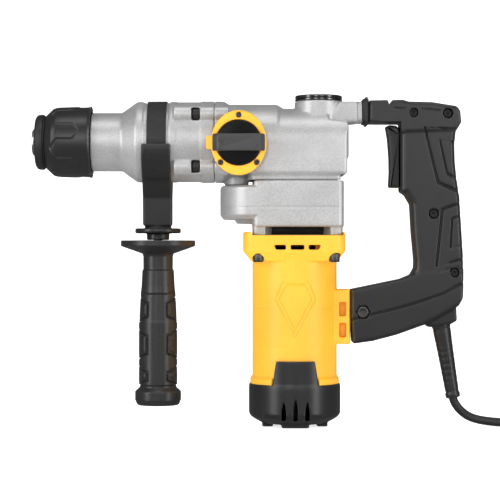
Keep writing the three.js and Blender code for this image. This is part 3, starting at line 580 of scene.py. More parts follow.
holderSizes = {"tip": -235.5, "bore": 5.2, "keyHalfWidth": 1.4, "keyReach": 7.6, "socketEnd": -191.5}


def makeToolHolder(h):
    body = lathe([
        (h["bore"] + 0.6, h["tip"]), (10.6, h["tip"]), (11.4, h["tip"] + 0.4), (11.75, h["tip"] + 1.2),
        (11.75, -222.4), (15, -221.9), (15, -146), (17, -145), (17, -129), (8.6, -129),
        (8.6, h["socketEnd"] + 6), (h["bore"], h["socketEnd"]), (h["bore"], h["tip"] + 0.6),
        (h["bore"] + 0.6, h["tip"]),
    ], "x", (0, chuckZ), 72)
    keys = []
    for side in (-1, 1):  # the slots that drive the bit
        y = sorted((side * 2, side * h["keyReach"]))
        keys.append(prism(box2d(*y, chuckZ - h["keyHalfWidth"], chuckZ + h["keyHalfWidth"]), -240, -196, "x"))
    for side in (-1, 1):  # the round grooves that hold it
        keys.append(rod(1.9, -240, -200, "x", (0, chuckZ + side * 4.6), 20))
    return machined(carve(body, *keys), 0.25)


piece(makeToolHolder(holderSizes), "toolHolder", "spindle", "brightSteel", "bright_steel", "tool_holder")

capSizes = {"front": -232.1, "rear": -223.2, "radius": 24.8, "bore": 12.1}


def makeNoseCap(c):
    front, rear, radius = c["front"], c["rear"], c["radius"]
    profile = rounded([
        (c["bore"], front + 0.2), (14, front), (14.6, front + 1.1), (19.4, front + 1.1), (20, front),
        (22, front),
        (24.2, front + 1.6), (radius, front + 4), (radius, rear - 2), (radius - 1.3, rear - 1),
        (radius - 1.3, rear), (c["bore"], rear),
    ], 0.6, 3)
    cap = lathe(profile + profile[:1], "x", (0, chuckZ), 120)
    cap.data.shade_smooth()
    cap.data.set_sharp_from_angle(angle=math.radians(60))
    return cap


sleeveSizes = {
    "front": -222.6, "rear": -182.3,
    "outside": [(24.2, -222.6), (30.1, -216.2), (31, -213), (31.3, -209.4), (32.1, -186.5), (32.3, -184.2),
                (32.9, -182.7), (32.6, -182.3)],
    "inside": [(27.25, -182.3), (27.25, -211), (15.4, -211), (15.4, -222.6)],
    "arrows": 6, "firstArrow": 163,  # how many raised arrows go round, and where the first points
    "arrowHalf": 13.5, "raised": 0.75,
    "notches": (64, 116, -64, -116), "notchHalf": 3.2,
}


def makeChuckSleeve(s):
    period = 360 / s["arrows"]

    def arrowHalf(place):  # half an arrow's angle at this place along the sleeve
        if place < -218:
            return period / 2
        if place < -211.8:
            return s["arrowHalf"] + (period / 2 - s["arrowHalf"]) * (-211.8 - place) / 6.2
        if place < -197.4:
            return s["arrowHalf"]
        return s["arrowHalf"] * (-191.8 - place) / 5.6

    def relief(radius, place, degrees):
        if radius < 28:  # the bore stays round
            return radius
        off = abs((degrees - s["firstArrow"] + period / 2) % period - period / 2)
        lean = 1 if -211.8 < place < -197.4 else 0.57
        inside = (arrowHalf(place) - off) * math.radians(1) * radius * lean
        share = min(1, max(0, inside / 0.9 + 0.5))
        raised = s["raised"] * share * share * (3 - 2 * share)
        beside = (abs((degrees - n + 180) % 360 - 180) < s["notchHalf"] for n in s["notches"])
        if place > -184.6 and any(beside):
            return radius - 2.6
        return radius - s["raised"] + raised

    profile = fineProfile(s["outside"], 0.6) + s["inside"]
    sleeve = lathe(profile + profile[:1], "x", (0, chuckZ), 300, relief)
    sleeve.data.shade_smooth()
    sleeve.data.set_sharp_from_angle(angle=math.radians(55))
    return sleeve


piece(makeNoseCap(capSizes), "noseCap", "spindle", "blackRubber", "black_rubber", "nose_cap")
piece(makeChuckSleeve(sleeveSizes), "chuckSleeve", "sleeve", "blackPlastic", "black_plastic", "chuck_sleeve")

# castings

boltPlaces = [(y, chuckZ + z) for y, z in ((-27, 23.3), (-27, -23.3), (27, 23.3), (27, -23.3))]


frontHousingSizes = {
    "profile": [
        (16, -182), (26.25, -182), (26.25, -154.8), (36.2, -141), (36.2, -135.4), (35, -134.4),
        (35, -112), (36.3, -111.2), (36.3, -106), (35.9, -105.4), (35.9, -84.4), (36.6, -83.4),
        (36.6, -71.9), (28, -71.9), (28, -84), (29.8, -87), (29.8, -136), (21, -150), (16, -168),
    ],
    "corners": [0.6, 0.8, 5, 3, 0.8, 0.3, 0.3, 0.5, 0.4, 0.4, 0.4, 0.5, 0.4, 0.3, 0.3, 0.5, 3, 4, 2],
    "ear": (7.4, -107.4, -71.9),  # radius and ends
    "bores": ((29.7, -110, -86), (27.9, -88, -70)),
    "headSeat": (6.2, -92, -84.2), "boltHole": (2.9, -93, -70), "headSlot": (12, 5.6),
}


def makeFrontHousing(f):
    profile = rounded(f["profile"], f["corners"], 3)
    body = lathe(profile + profile[:1], "x", (0, chuckZ), 96)
    ears = [rod(*f["ear"], "x", place) for place in boltPlaces]
    cuts = [rod(*bore, "x", (0, chuckZ)) for bore in f["bores"]]
    length, half = f["headSlot"]
    seatEnds = f["headSeat"][1:]
    for place in boltPlaces:
        cuts += [rod(*f["headSeat"], "x", place), rod(*f["boltHole"], "x", place, 24)]
        y, z = place
        out = 1 if y > 0 else -1
        cuts.append(prism(box2d(*sorted((y, y + out * length)), z - half, z + half), *seatEnds, "x"))
    return moulded(carve(merge(body, *ears), *cuts), 0.8, 3, 0.55)


gearHousingSizes = {
    "drum": [(0, -71.6), (36.6, -71.6), (36.6, -63.6), (33.7, -58.6), (33.7, -16), (30.2, -10), (0, -10)],
    "drumCorners": [0, 0.5, 1.5, 2, 3, 3, 0],
    "side": [
        (-41.6, 224.7), (45.9, 224.7), (45.9, 238.8), (47.3, 240), (47.3, 271), (30, 273.2), (28, 284.9),
        (-11.3, 284.9), (-17.5, 288.1), (-41.6, 288.1),
    ],
    "sideCorners": [4, 3, 1, 1, 5, 1, 2, 4, 4, 1],
    "roof": (33.5, 30.2),  # half width and rise of the arched top
    "section": [(-33.6, 241), (-34.2, 238.5), (-34.2, 227), (-32.5, 224.7), (32.5, 224.7), (34.2, 227),
                (34.2, 238.5), (33.6, 241)],
    "plan": (-41.6, 47.3, -34, 34), "lower": (-41, 42.4, -31, 31), "lowerEnds": (219.7, 234.7),
    "neck": [(20, 271.8), (60.1, 271.8), (60.1, 290.4), (39, 290.4), (29.5, 276), (20, 276)],
    "neckHalf": 15, "shoulder": [(26, 269), (56, 271.8), (56, 290.2), (39, 290.2)], "shoulderHalf": 18,
    "tongue": (5.3, 50, 75), "tongueZ": 281.7,
    "boss": (21.4, 250, 291.2), "bossX": 21.6, "bossBore": (16.5, 264, 300),
    "selectorBoss": [(0, -10), (21.2, -10), (21.2, -36.8), (20.4, -37.6), (0, -37.6)],
    "selectorX": -50, "selectorBore": (6, -50, -20),
    "bulgeNeck": (12.9, 215.6, 234.7), "bulgeX": -33, "bulgeBore": (12.2, 205, 245),
    "pad": (7.4, -71.6, -59), "boltHole": (2.9, -75, -61), "barrelBore": (28.5, -80, -30),
    "vault": (26.8, -50, 50), "vaultHalf": 28.5, "roomHalf": 29,
    "room": [(-38, 205), (42.5, 205), (42.5, 267.7), (28, 267.7), (25, 277), (-38, 277)],
}


def makeGearHousing(h):
    axis = (0, chuckZ)
    drum = lathe(rounded(h["drum"], h["drumCorners"], 3), "x", axis, 96)
    width, rise = h["roof"]
    top = [(width * math.cos(math.radians(a)), chuckZ + rise * math.sin(math.radians(a)))
           for a in range(0, 181, 6)]
    outside = prism(rounded(h["side"], h["sideCorners"]), -40, 40)
    plan = rounded(box2d(*h["plan"]), [1, 7, 7, 1])
    upper = common(outside, prism(h["section"] + top, -60, 60, "x"), prism(plan, 200, 300, "z"))
    lower = prism(rounded(box2d(*h["lower"]), 8), *h["lowerEnds"], "z")
    half = h["neckHalf"]
    neckEnd = rounded(box2d(-half, half, 271.8, 290.4), 4)
    neck = common(prism(h["neck"], -half, half), prism(neckEnd, 0, 70, "x"))
    shoulder = softPrism(rounded(h["shoulder"], 1.5), -h["shoulderHalf"], h["shoulderHalf"], 2.5)
    tongue = rod(*h["tongue"], "x", (0, h["tongueZ"]))
    boss = rod(*h["boss"], "z", (h["bossX"], 0), 96)
    selectorBoss = lathe(h["selectorBoss"], "y", (h["selectorX"], selectorZ), 96)
    bulgeNeck = rod(*h["bulgeNeck"], "z", (h["selectorX"], 0))
    pads = [rod(*h["pad"], "x", place) for place in boltPlaces]
    body = merge(drum, upper, lower, neck, shoulder, tongue, boss, selectorBoss, bulgeNeck, *pads)
    inner = h["vaultHalf"]
    walls = prism(box2d(*h["vault"][1:], -inner, inner), 200, chuckZ - 5, "z")
    vault = merge(rod(*h["vault"], "x", axis), walls)
    room = common(prism(h["room"], -h["roomHalf"], h["roomHalf"]), vault)
    cuts = [
        rod(*h["barrelBore"], "x", axis), room,
        rod(*h["bossBore"], "z", (h["bossX"], 0)), rod(*h["bulgeBore"], "z", (h["bulgeX"], 0)),
        rod(*h["selectorBore"], "y", (h["selectorX"], selectorZ)),
    ]
    cuts += [rod(*h["boltHole"], "x", place, 24) for place in boltPlaces]
    return moulded(carve(body, *cuts), 0.8, 4, 0.55)


gearCaseSizes = {
    "plan": (-38.2, 43.1, -34, 34), "planCorner": 8, "ends": (178.3, 219.3),
    "bulge": [(0, 181.4), (19, 181.4), (21, 185), (31, 185), (33.8, 188.9), (33.8, 213.5), (31.8, 215.3),
              (0, 215.3)],
    "bulgeCorners": [0, 1, 1.5, 1.5, 1.5, 1.5, 1.5, 0], "bulgeAt": (-33, 0), "gearAt": (21.6, 0),
    "posts": (-38, 41.9, -33, 33), "postEnds": (171.1, 180),
    "mouth": (-29.4, 33.7, -21.5, 26), "mouthDepths": (40, 18), "mouthEnds": (160, 178.3),
    "gearRoom": (19, 189.5, 230), "bulgeRoom": (30.4, 189.5, 230), "fanRoom": (13.3, 100, 188.3),
    "shaftBore": (7.5, 180, 230), "pinBore": (5.3, 181.5, 195),
    "seam": (195, 196.2), "seamDeep": 0.9,
    "web": (-42, -35, 11, 25), "webEnds": (212, 219.4),
    # painted shade: outline and depths of the near-black plates put where the air windows have only shade
    "shadePlateOutline": (-21, 25.6, 171.4, 178.9), "shadePlateDepths": (17.2, 18.6),
}


def makeGearCase(g):
    bulgeAt, gearAt = g["bulgeAt"], g["gearAt"]
    plan = rounded(box2d(*g["plan"]), g["planCorner"])
    main = softPrism(plan, *g["ends"], 1.2, "z")
    bulge = lathe(rounded(g["bulge"], g["bulgeCorners"], 3), "z", bulgeAt, 96)
    posts = prism(rounded(box2d(*g["posts"]), 6), *g["postEnds"], "z")
    outBack, outFront, inBack, inFront = g["mouth"]
    far, near = g["mouthDepths"]
    cuts = []
    for side in (-1, 1):  # the air windows' side walls slope inwards
        mouth = [(outBack, side * far), (outFront, side * far), (inFront, side * near), (inBack, side * near)]
        cuts.append(prism(mouth, *g["mouthEnds"], "z"))
    cuts += [
        rod(*g["gearRoom"], "z", gearAt), rod(*g["bulgeRoom"], "z", bulgeAt), rod(*g["fanRoom"]),
        rod(*g["shaftBore"]),
    ]
    cuts += [rod(*g["pinBore"], "z", at) for at in (gearAt, bulgeAt)]
    low, high = g["seam"]  # where the case's two halves meet
    ring = [(20, low), (36, low), (36, high), (20, high), (20, low)]
    seam = merge(prism(inset(plan, -3), low, high, "z"), lathe(ring, "z", bulgeAt))
    kept = prism(inset(plan, g["seamDeep"]), low - 5, high + 3.8, "z")
    cuts.append(carve(seam, kept, rod(33, low - 5, high + 3.8, "z", bulgeAt, 96)))
    back, front, near, far = g["web"]
    webs = [prism(box2d(back, front, *sorted((side * near, side * far))), *g["webEnds"], "z")
            for side in (-1, 1)]
    case = moulded(carve(merge(main, bulge, posts, *webs), *cuts), 0.62, 3, 0.5)
    # painted shade: near-black plates in the air windows stand in for the shade inside them
    shadePlates = []
    near, far = g["shadePlateDepths"]
    for side in (-1, 1):  # dark plates at the back of the air windows: painted shade that stands in for the shadow inside them and hides the view through the case
        plate = prism(box2d(*g["shadePlateOutline"]), *sorted((side * near, side * far)))
        shadePlates.append(finished(machined(plate, 0.2), "knobBlack"))
    return joined(finished(case, "castAluminium"), *shadePlates)


piece(makeFrontHousing(frontHousingSizes), "frontHousing", "machine", "castAluminium", "cast_aluminium",
      "front_housing")
piece(makeGearHousing(gearHousingSizes), "gearHousing", "machine", "castAluminium", "cast_aluminium",
      "gear_housing")
attach(makeGearCase(gearCaseSizes), "gearCase", "machine", "cast_aluminium", "gear_case")

# screws

def star(at, radius, points=6, waist=0.72):  # a splined recess, or a plain hexagon with waist 1
    count = points * 2
    return [(at[0] + radius * (1 if k % 2 else waist) * math.cos(math.pi * k / points),
             at[1] + radius * (1 if k % 2 else waist) * math.sin(math.pi * k / points)) for k in range(count)]


def hexagon(at, radius, turn=0):
    return [(at[0] + radius * math.cos(math.radians(60 * k + turn)),
             at[1] + radius * math.sin(math.radians(60 * k + turn))) for k in range(6)]


screwSizes = {
    "housing": {"face": -91, "seat": -84.5, "end": -62.2, "head": 5.55, "shank": 2.5,
                "recess": 2.9, "deep": 3.2, "dome": 0.5},
    "motor": {"face": 147.1, "seat": 154.3, "end": 169.8, "head": 4.45, "shank": 2,
              "recess": 2.5, "deep": 3.4, "dome": 0.5},
    "bezel": {"face": -42.5, "seat": -37.7, "end": -37.6, "head": 2.35, "shank": 2.35,
              "recess": 1.5, "deep": 1.6, "dome": 0.5},
    "handle": {"face": -15.2, "seat": -13.2, "end": 8.8, "head": 3.75, "shank": 1.55,
               "recess": 2.1, "deep": 1.3, "dome": 0.4},
}


def makeScrew(s, along, at):
    head, face, seat, shank, end = s["head"], s["face"], s["seat"], s["shank"], s["end"]
    dome = s["dome"]
    profile = [(0, face), (head - 2 * dome, face), (head - dome * 0.6, face + dome * 0.4),
               (head, face + dome * 1.6), (head, seat), (shank, seat + 0.05), (shank, end - 0.02), (0, end)]
    body = lathe(profile, along, at, 40)
    recess = prism(star(at, s["recess"]), face - 1, face + s["deep"], along)
    return machined(carve(body, recess), 0.12)


armBoltSizes = {
    "at": (60.6, 102.4), "head": 5.15, "headEnds": (-16.5, -13.2), "shank": (2.55, -14, 12.4),
    "washer": (5.1, -14.3, -13.15), "dish": [(0, -17), (3.4, -17), (3, -15.7), (0, -15.7)],
}


def makeArmBolt(s):
    head = prism(hexagon(s["at"], s["head"]), *s["headEnds"])
    shank = rod(*s["shank"], "y", s["at"], 32)
    washer = rod(*s["washer"], "y", s["at"], 40)
    dish = lathe(s["dish"], "y", s["at"], 32)
    return machined(carve(merge(head, shank, washer), dish), 0.3)


for i, place in enumerate(boltPlaces, 1):
    screw = makeScrew(screwSizes["housing"], "x", place)
    piece(screw, f"housingBolt{i}", "machine", "blackedSteel", "dark_steel", f"housing_bolt_{i}")
motorScrewPlaces = [(-32.8, -37), (34.4, -37), (-32.8, 37), (34.4, 37)]
for i, place in enumerate(motorScrewPlaces, 1):
    screw = makeScrew(screwSizes["motor"], "z", place)
    piece(screw, f"motorScrew{i}", "machine", "darkSteel", "dark_steel", f"motor_screw_{i}")
bezelScrewPlaces = [(-50, selectorZ + 24.4), (-65.9, selectorZ - 17.2), (-34.1, selectorZ - 17.2)]
for i, place in enumerate(bezelScrewPlaces, 1):
    screw = makeScrew(screwSizes["bezel"], "y", place)
    piece(screw, f"bezelScrew{i}", "machine", "darkSteel", "dark_steel", f"bezel_screw_{i}")
handleScrewPlaces = [(105.8, 280.1), (136.3, 279.6), (123.8, 190), (142.4, 137.4)]
for i, place in enumerate(handleScrewPlaces, 1):
    screw = makeScrew(screwSizes["handle"], "y", place)
    piece(screw, f"handleScrew{i}", "machine", "blackedSteel", "dark_steel", f"handle_screw_{i}")
piece(makeArmBolt(armBoltSizes), "armBolt", "machine", "darkSteel", "dark_steel", "arm_bolt")

# grease cap and mode selector

greaseSizes = {"middle": (21.6, 0), "low": 291.5, "top": 296.4, "radius": 21.2, "plug": 15.8, "key": 8}


def makeGreaseCap(g):
    low, top, radius = g["low"], g["top"], g["radius"]
    profile = [
        (0, 281.8), (12, 281.8), (g["plug"], 282.6), (g["plug"], low), (radius - 0.3, low),
        (radius, low + 0.3),
        (radius, low + 1.6), (radius - 0.6, low + 1.9), (radius - 0.6, low + 2.4), (radius, low + 2.7),
        (radius, top - 1), (radius - 1, top), (12.5, top), (12, top - 0.5), (10.4, top - 0.5), (9.9, top),
        (0, top),
    ]
    cap = lathe(profile, "z", g["middle"], 120)
    key = prism(hexagon(g["middle"], g["key"]), 293.2, 300, "z")
    return machined(carve(cap, key), 0.25)


bezelSizes = {"halfLength": 24.5, "halfHeight": 28.5, "back": -37.9, "front": -43.4, "bore": 20.4, "x": -50}


def makeBezel(b):
    x, back, front = b["x"], b["back"], b["front"]
    outline = []
    for k in range(96):
        a = 2 * math.pi * k / 96
        outline.append((x + b["halfLength"] * math.cos(a), selectorZ + b["halfHeight"] * math.sin(a)))
    plate = softPrism(outline, front, back + 1.6, 1.5)
    carve(plate, prism(box2d(-120, 20, 200, 300), back, back + 4))
    tab = prism(rounded(box2d(x - 28.5, x - 20, selectorZ - 5.8, selectorZ + 5.8), 1.2), front + 0.2, back)
    body = merge(plate, tab)
    cuts = [rod(b["bore"], -60, -30, "y", (x, selectorZ), 96)]
    for place in bezelScrewPlaces:
        cuts.append(rod(2.6, -60, -30, "y", place, 32))
        cuts.append(rod(3.2, -60, front + 1.2, "y", place, 32))
    return machined(carve(body, *cuts), 0.35)


knobSizes = {
    "x": -50, "radius": 19.9, "back": -37.9, "face": -46, "barHalf": 7.5, "barReach": 23, "faceReach": 19,
    "barFace": -53.5, "barBack": -44.4,
}


def makeKnob(k):
    x, radius, back, face = k["x"], k["radius"], k["back"], k["face"]
    disc = lathe([
        (0, face), (radius - 2.6, face), (radius - 2.1, face + 0.35), (radius - 1.1, face + 0.35),
        (radius - 0.3, face + 1.0), (radius, face + 1.8), (radius, back), (0, back),
    ], "y", (x, selectorZ), 120)
    shaft = rod(5.5, -40, -29.5, "y", (x, selectorZ), 32)
    disc = machined(merge(disc, shaft), 0.2)
    base, top = k["barReach"], k["faceReach"]
    plan = rounded([(x - base, k["barBack"]), (x - base, -47.6), (x - top, k["barFace"]),
                    (x + top, k["barFace"]),
                    (x + base, -47.6), (x + base, k["barBack"])], [0.4, 1.6, 1.8, 1.8, 1.6, 0.4])
    bar = softPrism(plan, selectorZ - k["barHalf"], selectorZ + k["barHalf"], 1.6, "z")
    pointer = prism([(x - 18.5, selectorZ), (x - 14, selectorZ - 2.6), (x - 14, selectorZ + 2.6)], -55, -53.1)
    carve(bar, pointer)  # the pointer shows which mode is chosen
    return joined(finished(disc, "knobBlack"), finished(bar, "knobGrey"))


piece(makeGreaseCap(greaseSizes), "greaseCap", "grease_cap", "capSteel", "cap_steel", "grease_cap")
piece(makeBezel(bezelSizes), "selectorBezel", "machine", "yellowPlastic", "yellow_plastic", "selector_bezel")
attach(makeKnob(knobSizes), "selectorKnob", "knob", "black_plastic", "selector_knob")

# motor

motorSizes = {
    "radius": 37.9, "bore": 34.5, "foot": 35.6,
    "vents": ((-19.4, -8.6), (-4.4, 7.6), (11.3, 22.5)),
    "pockets": ((98.8, 111.6), (79.9, 92.8)),
    "screws": ((-32.8, -37), (34.4, -37), (-32.8, 37), (34.4, 37)),
    "panelOutside": [(-12.5, 130.4), (12.5, 130.4), (18.6, 114), (0, 79.5), (-18.6, 114)],
    "panelInside": [(-8.3, 128.3), (8.3, 128.3), (15.4, 115), (0, 85), (-15.4, 115)],
    "groove": 1.3, "grooveDepth": 1.2,
}


def wrapped(outline, width, depth, radius, side, steps=3):  # a groove round an outline, on the tube's curve
    line = rounded(outline, 2.5, steps)
    low, high = sorted((side * 20, side * 50))
    band = prism(line, low, high)
    middle = rod(radius - depth, 20, 160, "z", (0, 0), 120)
    return carve(band, prism(inset(line, width), low - 1, high + 1), middle)


def makeMotorHousing(m):
    r = m["radius"]
    tube = lathe(rounded([
        (0, m["foot"]), (39.9, m["foot"]), (39.9, 43), (38.8, 44.6), (r, 45.6), (r, 160), (0, 160),
    ], [0, 0.6, 1.2, 0.6, 0.6, 0, 0], 3), "z", (0, 0), 144)
    plan = rounded(box2d(-46.2, 44, -44, 44), 13, 8)
    lower = inset(plan, 7.6)
    collar = stacked([(lower, 148), (inset(plan, 6.6), 148.5), (inset(plan, 0.9), 155.6),
                      (inset(plan, 0.2), 156.5), (plan, 157.6), (plan, 172.6), (inset(plan, 0.3), 173.2),
                      (inset(plan, 1.2), 173.8)], "z")
    bracket = softPrism(rounded(box2d(20, 49.4, 73.7, 122.7), 1), -15, 15, 2)
    tongue = prism(rounded(box2d(40, 67.5, 92, 113), 1), -5, 5)
    cuts = [rod(m["bore"], 20, 200, sides=120), rod(3.3, -20, 20, "y", (60.6, 102.4), 24)]
    cuts.append(prism(box2d(-38.6, 42.4, 170.9, 180), -60, 60))  # the case stands in this dip
    for side in (-1, 1):
        y = sorted((side * 20, side * 60))
        mouth = [(-21.4, 20), (21.4, 20), (21, 40), (17.9, 60.6), (-17.9, 60.6), (-21, 40)]
        cuts.append(prism(rounded(mouth, 0.8), *y))
        for i, (x0, x1) in enumerate(m["vents"]):
            lean = (2.2 if i == 0 else 0, 2.2 if i == 2 else 0)
            slot = [(x0 + lean[0], 158.1), (x1 - lean[1], 158.1), (x1, 162.3), (x0, 162.3)]
            cuts.append(prism(rounded(slot, 0.7), *sorted((side * 30, side * 60))))
        for z0, z1 in m["pockets"]:
            cuts.append(prism(rounded(box2d(39.5, 45.5, z0, z1), 1), *sorted((side * 7, side * 20))))
        for outline in (m["panelOutside"], m["panelInside"]):
            cuts.append(wrapped(outline, m["groove"], m["grooveDepth"], r, side))
        for x0, x1, z in ((-60, -24, 106.1), (24, 36, 106.1), (-60, 36, 71.3)):  # moulding seams
            line = prism(box2d(x0, x1, z, z + 1), *sorted((side * 5, side * 60)))
            cuts.append(carve(line, rod(r - 0.7, 60, 120, sides=120)))
    for x, y in m["screws"]:
        cuts += [rod(2.4, 140, 180, "z", (x, y), 24), rod(4.9, 140, 156.4, "z", (x, y), 40)]
    skirt = lathe([(m["bore"], m["foot"]), (r, m["foot"]), (r, 61), (m["bore"], 61), (m["bore"], m["foot"])],
                  "z", (0, 0), 120)
    body = carve(merge(tube, collar, bracket, tongue), *cuts)
    return moulded(merge(body, skirt), 0.62, 3, 0.5)


endCapSizes = {
    "outside": [(0, 2.9), (29, 2.9), (34.7, 6), (39.4, 9), (41.1, 12.1), (41.1, 35.1), (40.8, 38.6),
                (0, 38.6)],
    "inside": [(0, 6.5), (27, 6.5), (36.5, 13), (37.4, 33), (39.95, 35.3), (39.95, 70), (0, 70)],
    "tongue": [(-20.6, 30), (20.6, 30), (20.2, 40), (17.1, 59.8), (-17.1, 59.8), (-20.2, 40)],
    "vents": ((-10.4, 23.3), (0, 25.7), (10.4, 23.3)),
}


def makeEndCap(e):
    shell = lathe(rounded(e["outside"], [0, 1.5, 4, 4, 3, 0.8, 0.8, 0], 5), "z", (0, 0), 144)
    inside = lathe(e["inside"], "z", (0, 0), 120)
    tongue = merge(*[prism(rounded(e["tongue"], 1.2), *sorted((0, side * 60))) for side in (-1, 1)])
    tongue = common(tongue, rod(40.4, 20, 62, sides=144))
    tongue = carve(tongue, rod(38.3, 20, 70, sides=120))
    cup = carve(rod(15.5, 5, 32), rod(12.4, 20, 40))
    shell = merge(carve(shell, inside), tongue, cup)
    for turn in range(4):
        pad = softPrism(rounded(box2d(19.5, 29.2, -12.2, 12.2), 2), 0.05, 7, 0.8, "z")
        pad.data.transform(Matrix.Rotation(math.radians(90 * turn), 4, "Z"))
        shell = merge(shell, pad)
    shell = merge(shell, softPrism(rounded(box2d(-10, 10, -10, 10), 7), 0.05, 7, 0.8, "z"))
    cuts = []
    for side in (-1, 1):
        for x, top in e["vents"]:
            drop = [(x - 2, 7), (x + 2, 7), (x + 2, top - 8), (x + 0.6, top), (x - 0.6, top),
                    (x - 2, top - 8)]
            slot = prism(rounded(drop, 0.9), *sorted((side * 24, side * 60)))
            cuts.append(slot)
        ridge = [(-20.6, 38.2), (20.6, 38.2), (20.6, 39), (-20.6, 39)]
        cuts.append(carve(prism(ridge, *sorted((side * 20, side * 60))), rod(39.8, 20, 60, sides=120)))
    return moulded(carve(shell, *cuts), 0.7, 3, 0.5)


piece(makeMotorHousing(motorSizes), "motorHousing", "machine", "yellowPlastic", "yellow_plastic",
      "motor_housing")
piece(makeEndCap(endCapSizes), "motorEndCap", "machine", "blackPlastic", "black_plastic", "motor_end_cap")

# rear handle

handleSizes = {
    "top": [(66.1, 291.3), (82, 291.6), (96.3, 291.9), (101, 290.3), (122, 289.8), (144.5, 286.2),
            (147.4, 282),
            (148.5, 272), (143.7, 263.7), (94.2, 262), (94.2, 271.4), (66.1, 271.4)],
    "grip": [(94.2, 285), (144.6, 285), (148.3, 272), (143.7, 263.7), (142.5, 251.6), (142.9, 236.3),
             (144.5, 221.1), (147, 205), (148.5, 180.3), (150.3, 151.5), (150.3, 120), (104, 120),
             (103.8, 135.4),
             (107.3, 141.6), (107.6, 148.4), (105.2, 174), (103.8, 198.7), (98.7, 207.5), (94.2, 210)],
    "arm": [(50, 122.4), (94.9, 131.7), (103.8, 135.4), (112, 138), (150.3, 142), (150.3, 128),
            (149.8, 114.6),
            (146.2, 108.1), (138.3, 103.1), (116.8, 91.6), (91, 82.3), (69.4, 76.6), (51.5, 74.1),
            (50, 99.6)],
    "gland": [(116, 96), (118.3, 89), (123.8, 88.7), (139.7, 91.4), (145.2, 94.5), (144.5, 108), (130, 110)],
    "half": 18, "gripHalf": 16.6, "glandHalf": 11,
    "grooves": [  # line, width, depth
        ([(150, 265), (115.6, 266.9), (127.6, 217.9), (149, 208.5)], 2.3, 2.1),
        ([(150, 253), (129.2, 255.6), (135.7, 225.9), (149, 219)], 1.9, 1.8),
        ([(152, 201.2), (131.4, 194), (126.2, 142.9), (154, 151)], 2.3, 2.1),
        ([(152, 190), (140.3, 185.7), (138.6, 158.8), (154, 162.6)], 1.9, 1.8),
        ([(48, 95.3), (94.9, 106.8), (114.1, 112.8), (133.5, 119.5), (141.7, 124.4), (152, 129.6)], 2.0, 1.8),
        ([(110.7, 132.6), (139, 140.9), (152, 142.5)], 1.2, 0.9),
        ([(88, 284), (99, 283.6)], 1.5, 1.0),
        ([(112, 283.2), (122, 282.6), (130, 281.8)], 1.5, 1.0),
    ],
}


def handleBody(h, shrink=0):
    half, gripHalf = h["half"] - shrink, h["gripHalf"] - shrink
    top = softPrism(rounded(h["top"], [1, 2, 3, 4, 6, 5, 4, 3, 3, 0.5, 0.5, 1]), -half, half, 3.2)
    grip = softPrism(rounded(h["grip"], 3), -gripHalf, gripHalf, 5.2)
    arm = softPrism(rounded(h["arm"], [1, 4, 6, 3, 1, 5, 5, 5, 5, 8, 8, 8, 2, 1]), -half, half, 3.2)
    return merge(top, grip, arm)


def band(points, width, low, high):  # a line with some width, as a solid
    left, right = [], []
    for i, point in enumerate(points):
        before = Vector(points[max(i - 1, 0)])
        after = Vector(points[min(i + 1, len(points) - 1)])
        away = (after - before).normalized()
        across = Vector((-away.y, away.x)) * width / 2
        left.append(tuple(Vector(point) + across))
        right.append(tuple(Vector(point) - across))
    return prism(left + right[::-1], low, high)


def makeHandleHalf(h, side):
    body = merge(handleBody(h), softPrism(rounded(h["gland"], 2), -h["glandHalf"], h["glandHalf"], 2.5))
    reach = sorted((side * 2, side * 40))
    grooves = []
    for points, width, depth in h["grooves"]:
        groove = band(points, width, *reach)
        grooves.append(carve(groove, handleBody(h, depth)))
    away = sorted((-side * 60, side * 0.15))
    cuts = [
        prism(box2d(20, 180, 50, 320), *away),
        prism([(82.3, 296), (83.6, 287), (86.2, 287), (87.5, 296)], -20, 20),
        prism(box2d(90, 104, 211.2, 268.8), -8.6, 8.6),
        prism(box2d(103, 130, 224, 264.5), -9.3, 9.3),
        rod(5.8, 60, 76, "x", (0, chuckZ + 27), 32),
        prism(box2d(40, 68.3, 91.3, 113.7), -5.5, 5.5),
    ]
    seat = rod(9, -12.4, 8)
    direction = (Vector(bootSizes["end"]) - Vector(bootSizes["top"])).normalized()
    seat.data.transform(direction.to_track_quat("Z", "Y").to_matrix().to_4x4())
    seat.data.transform(Matrix.Translation(Vector(bootSizes["top"]) * mm))
    cuts.append(seat)
    low, high = sorted((side * 12.8, side * 40))
    for place in handleScrewPlaces:
        cuts += [rod(4.5, low, high, "y", place, 40), rod(1.9, -40, 40, "y", place, 24)]
    cuts += [prism(hexagon((60.6, 102.4), 6.6), low, high), rod(3, -40, 40, "y", (60.6, 102.4), 24)]
    return moulded(carve(body, *cuts, *grooves), 0.62, 3, 0.45)


for side, name in ((-1, "Left"), (1, "Right")):
    half = makeHandleHalf(handleSizes, side)
    piece(half, "handle" + name, "machine", "blackPlastic", "black_plastic", "handle_" + name.lower())


triggerSizes = {
    "outline": [
        (81.5, 268.2), (84.7, 269.8), (90.7, 269.4), (94, 266.5), (95.6, 262), (95.6, 213.6), (84.2, 213.8),
        (84.9, 228), (84.7, 239.7), (83.4, 257),
    ],
    "corners": [1, 2, 2, 2, 1, 0.5, 1.5, 10, 14, 8], "half": 8, "edge": 2.6,
}


def makeTrigger(t):
    outline = rounded(t["outline"], t["corners"], 6)
    body = softPrism(outline, -t["half"], t["half"], t["edge"], "y", 6)
    body.data.shade_smooth()
    return body


neckRingSizes = {
    "levels": [  # place along x, half width, bottom and top
        (60.4, 15.4, 271.5, 292.3), (60.9, 15.9, 270.9, 292.9), (62.5, 15.9, 270.9, 292.9),
        (63.2, 16.5, 269.3, 294.5), (64.9, 16.5, 269.3, 294.5), (65.4, 15.9, 270.9, 292.9),
        (65.8, 15.6, 271.3, 292.5),
    ],
    "corner": 4.5, "bore": (5.8, 50, 76), "boreZ": chuckZ + 27,
}


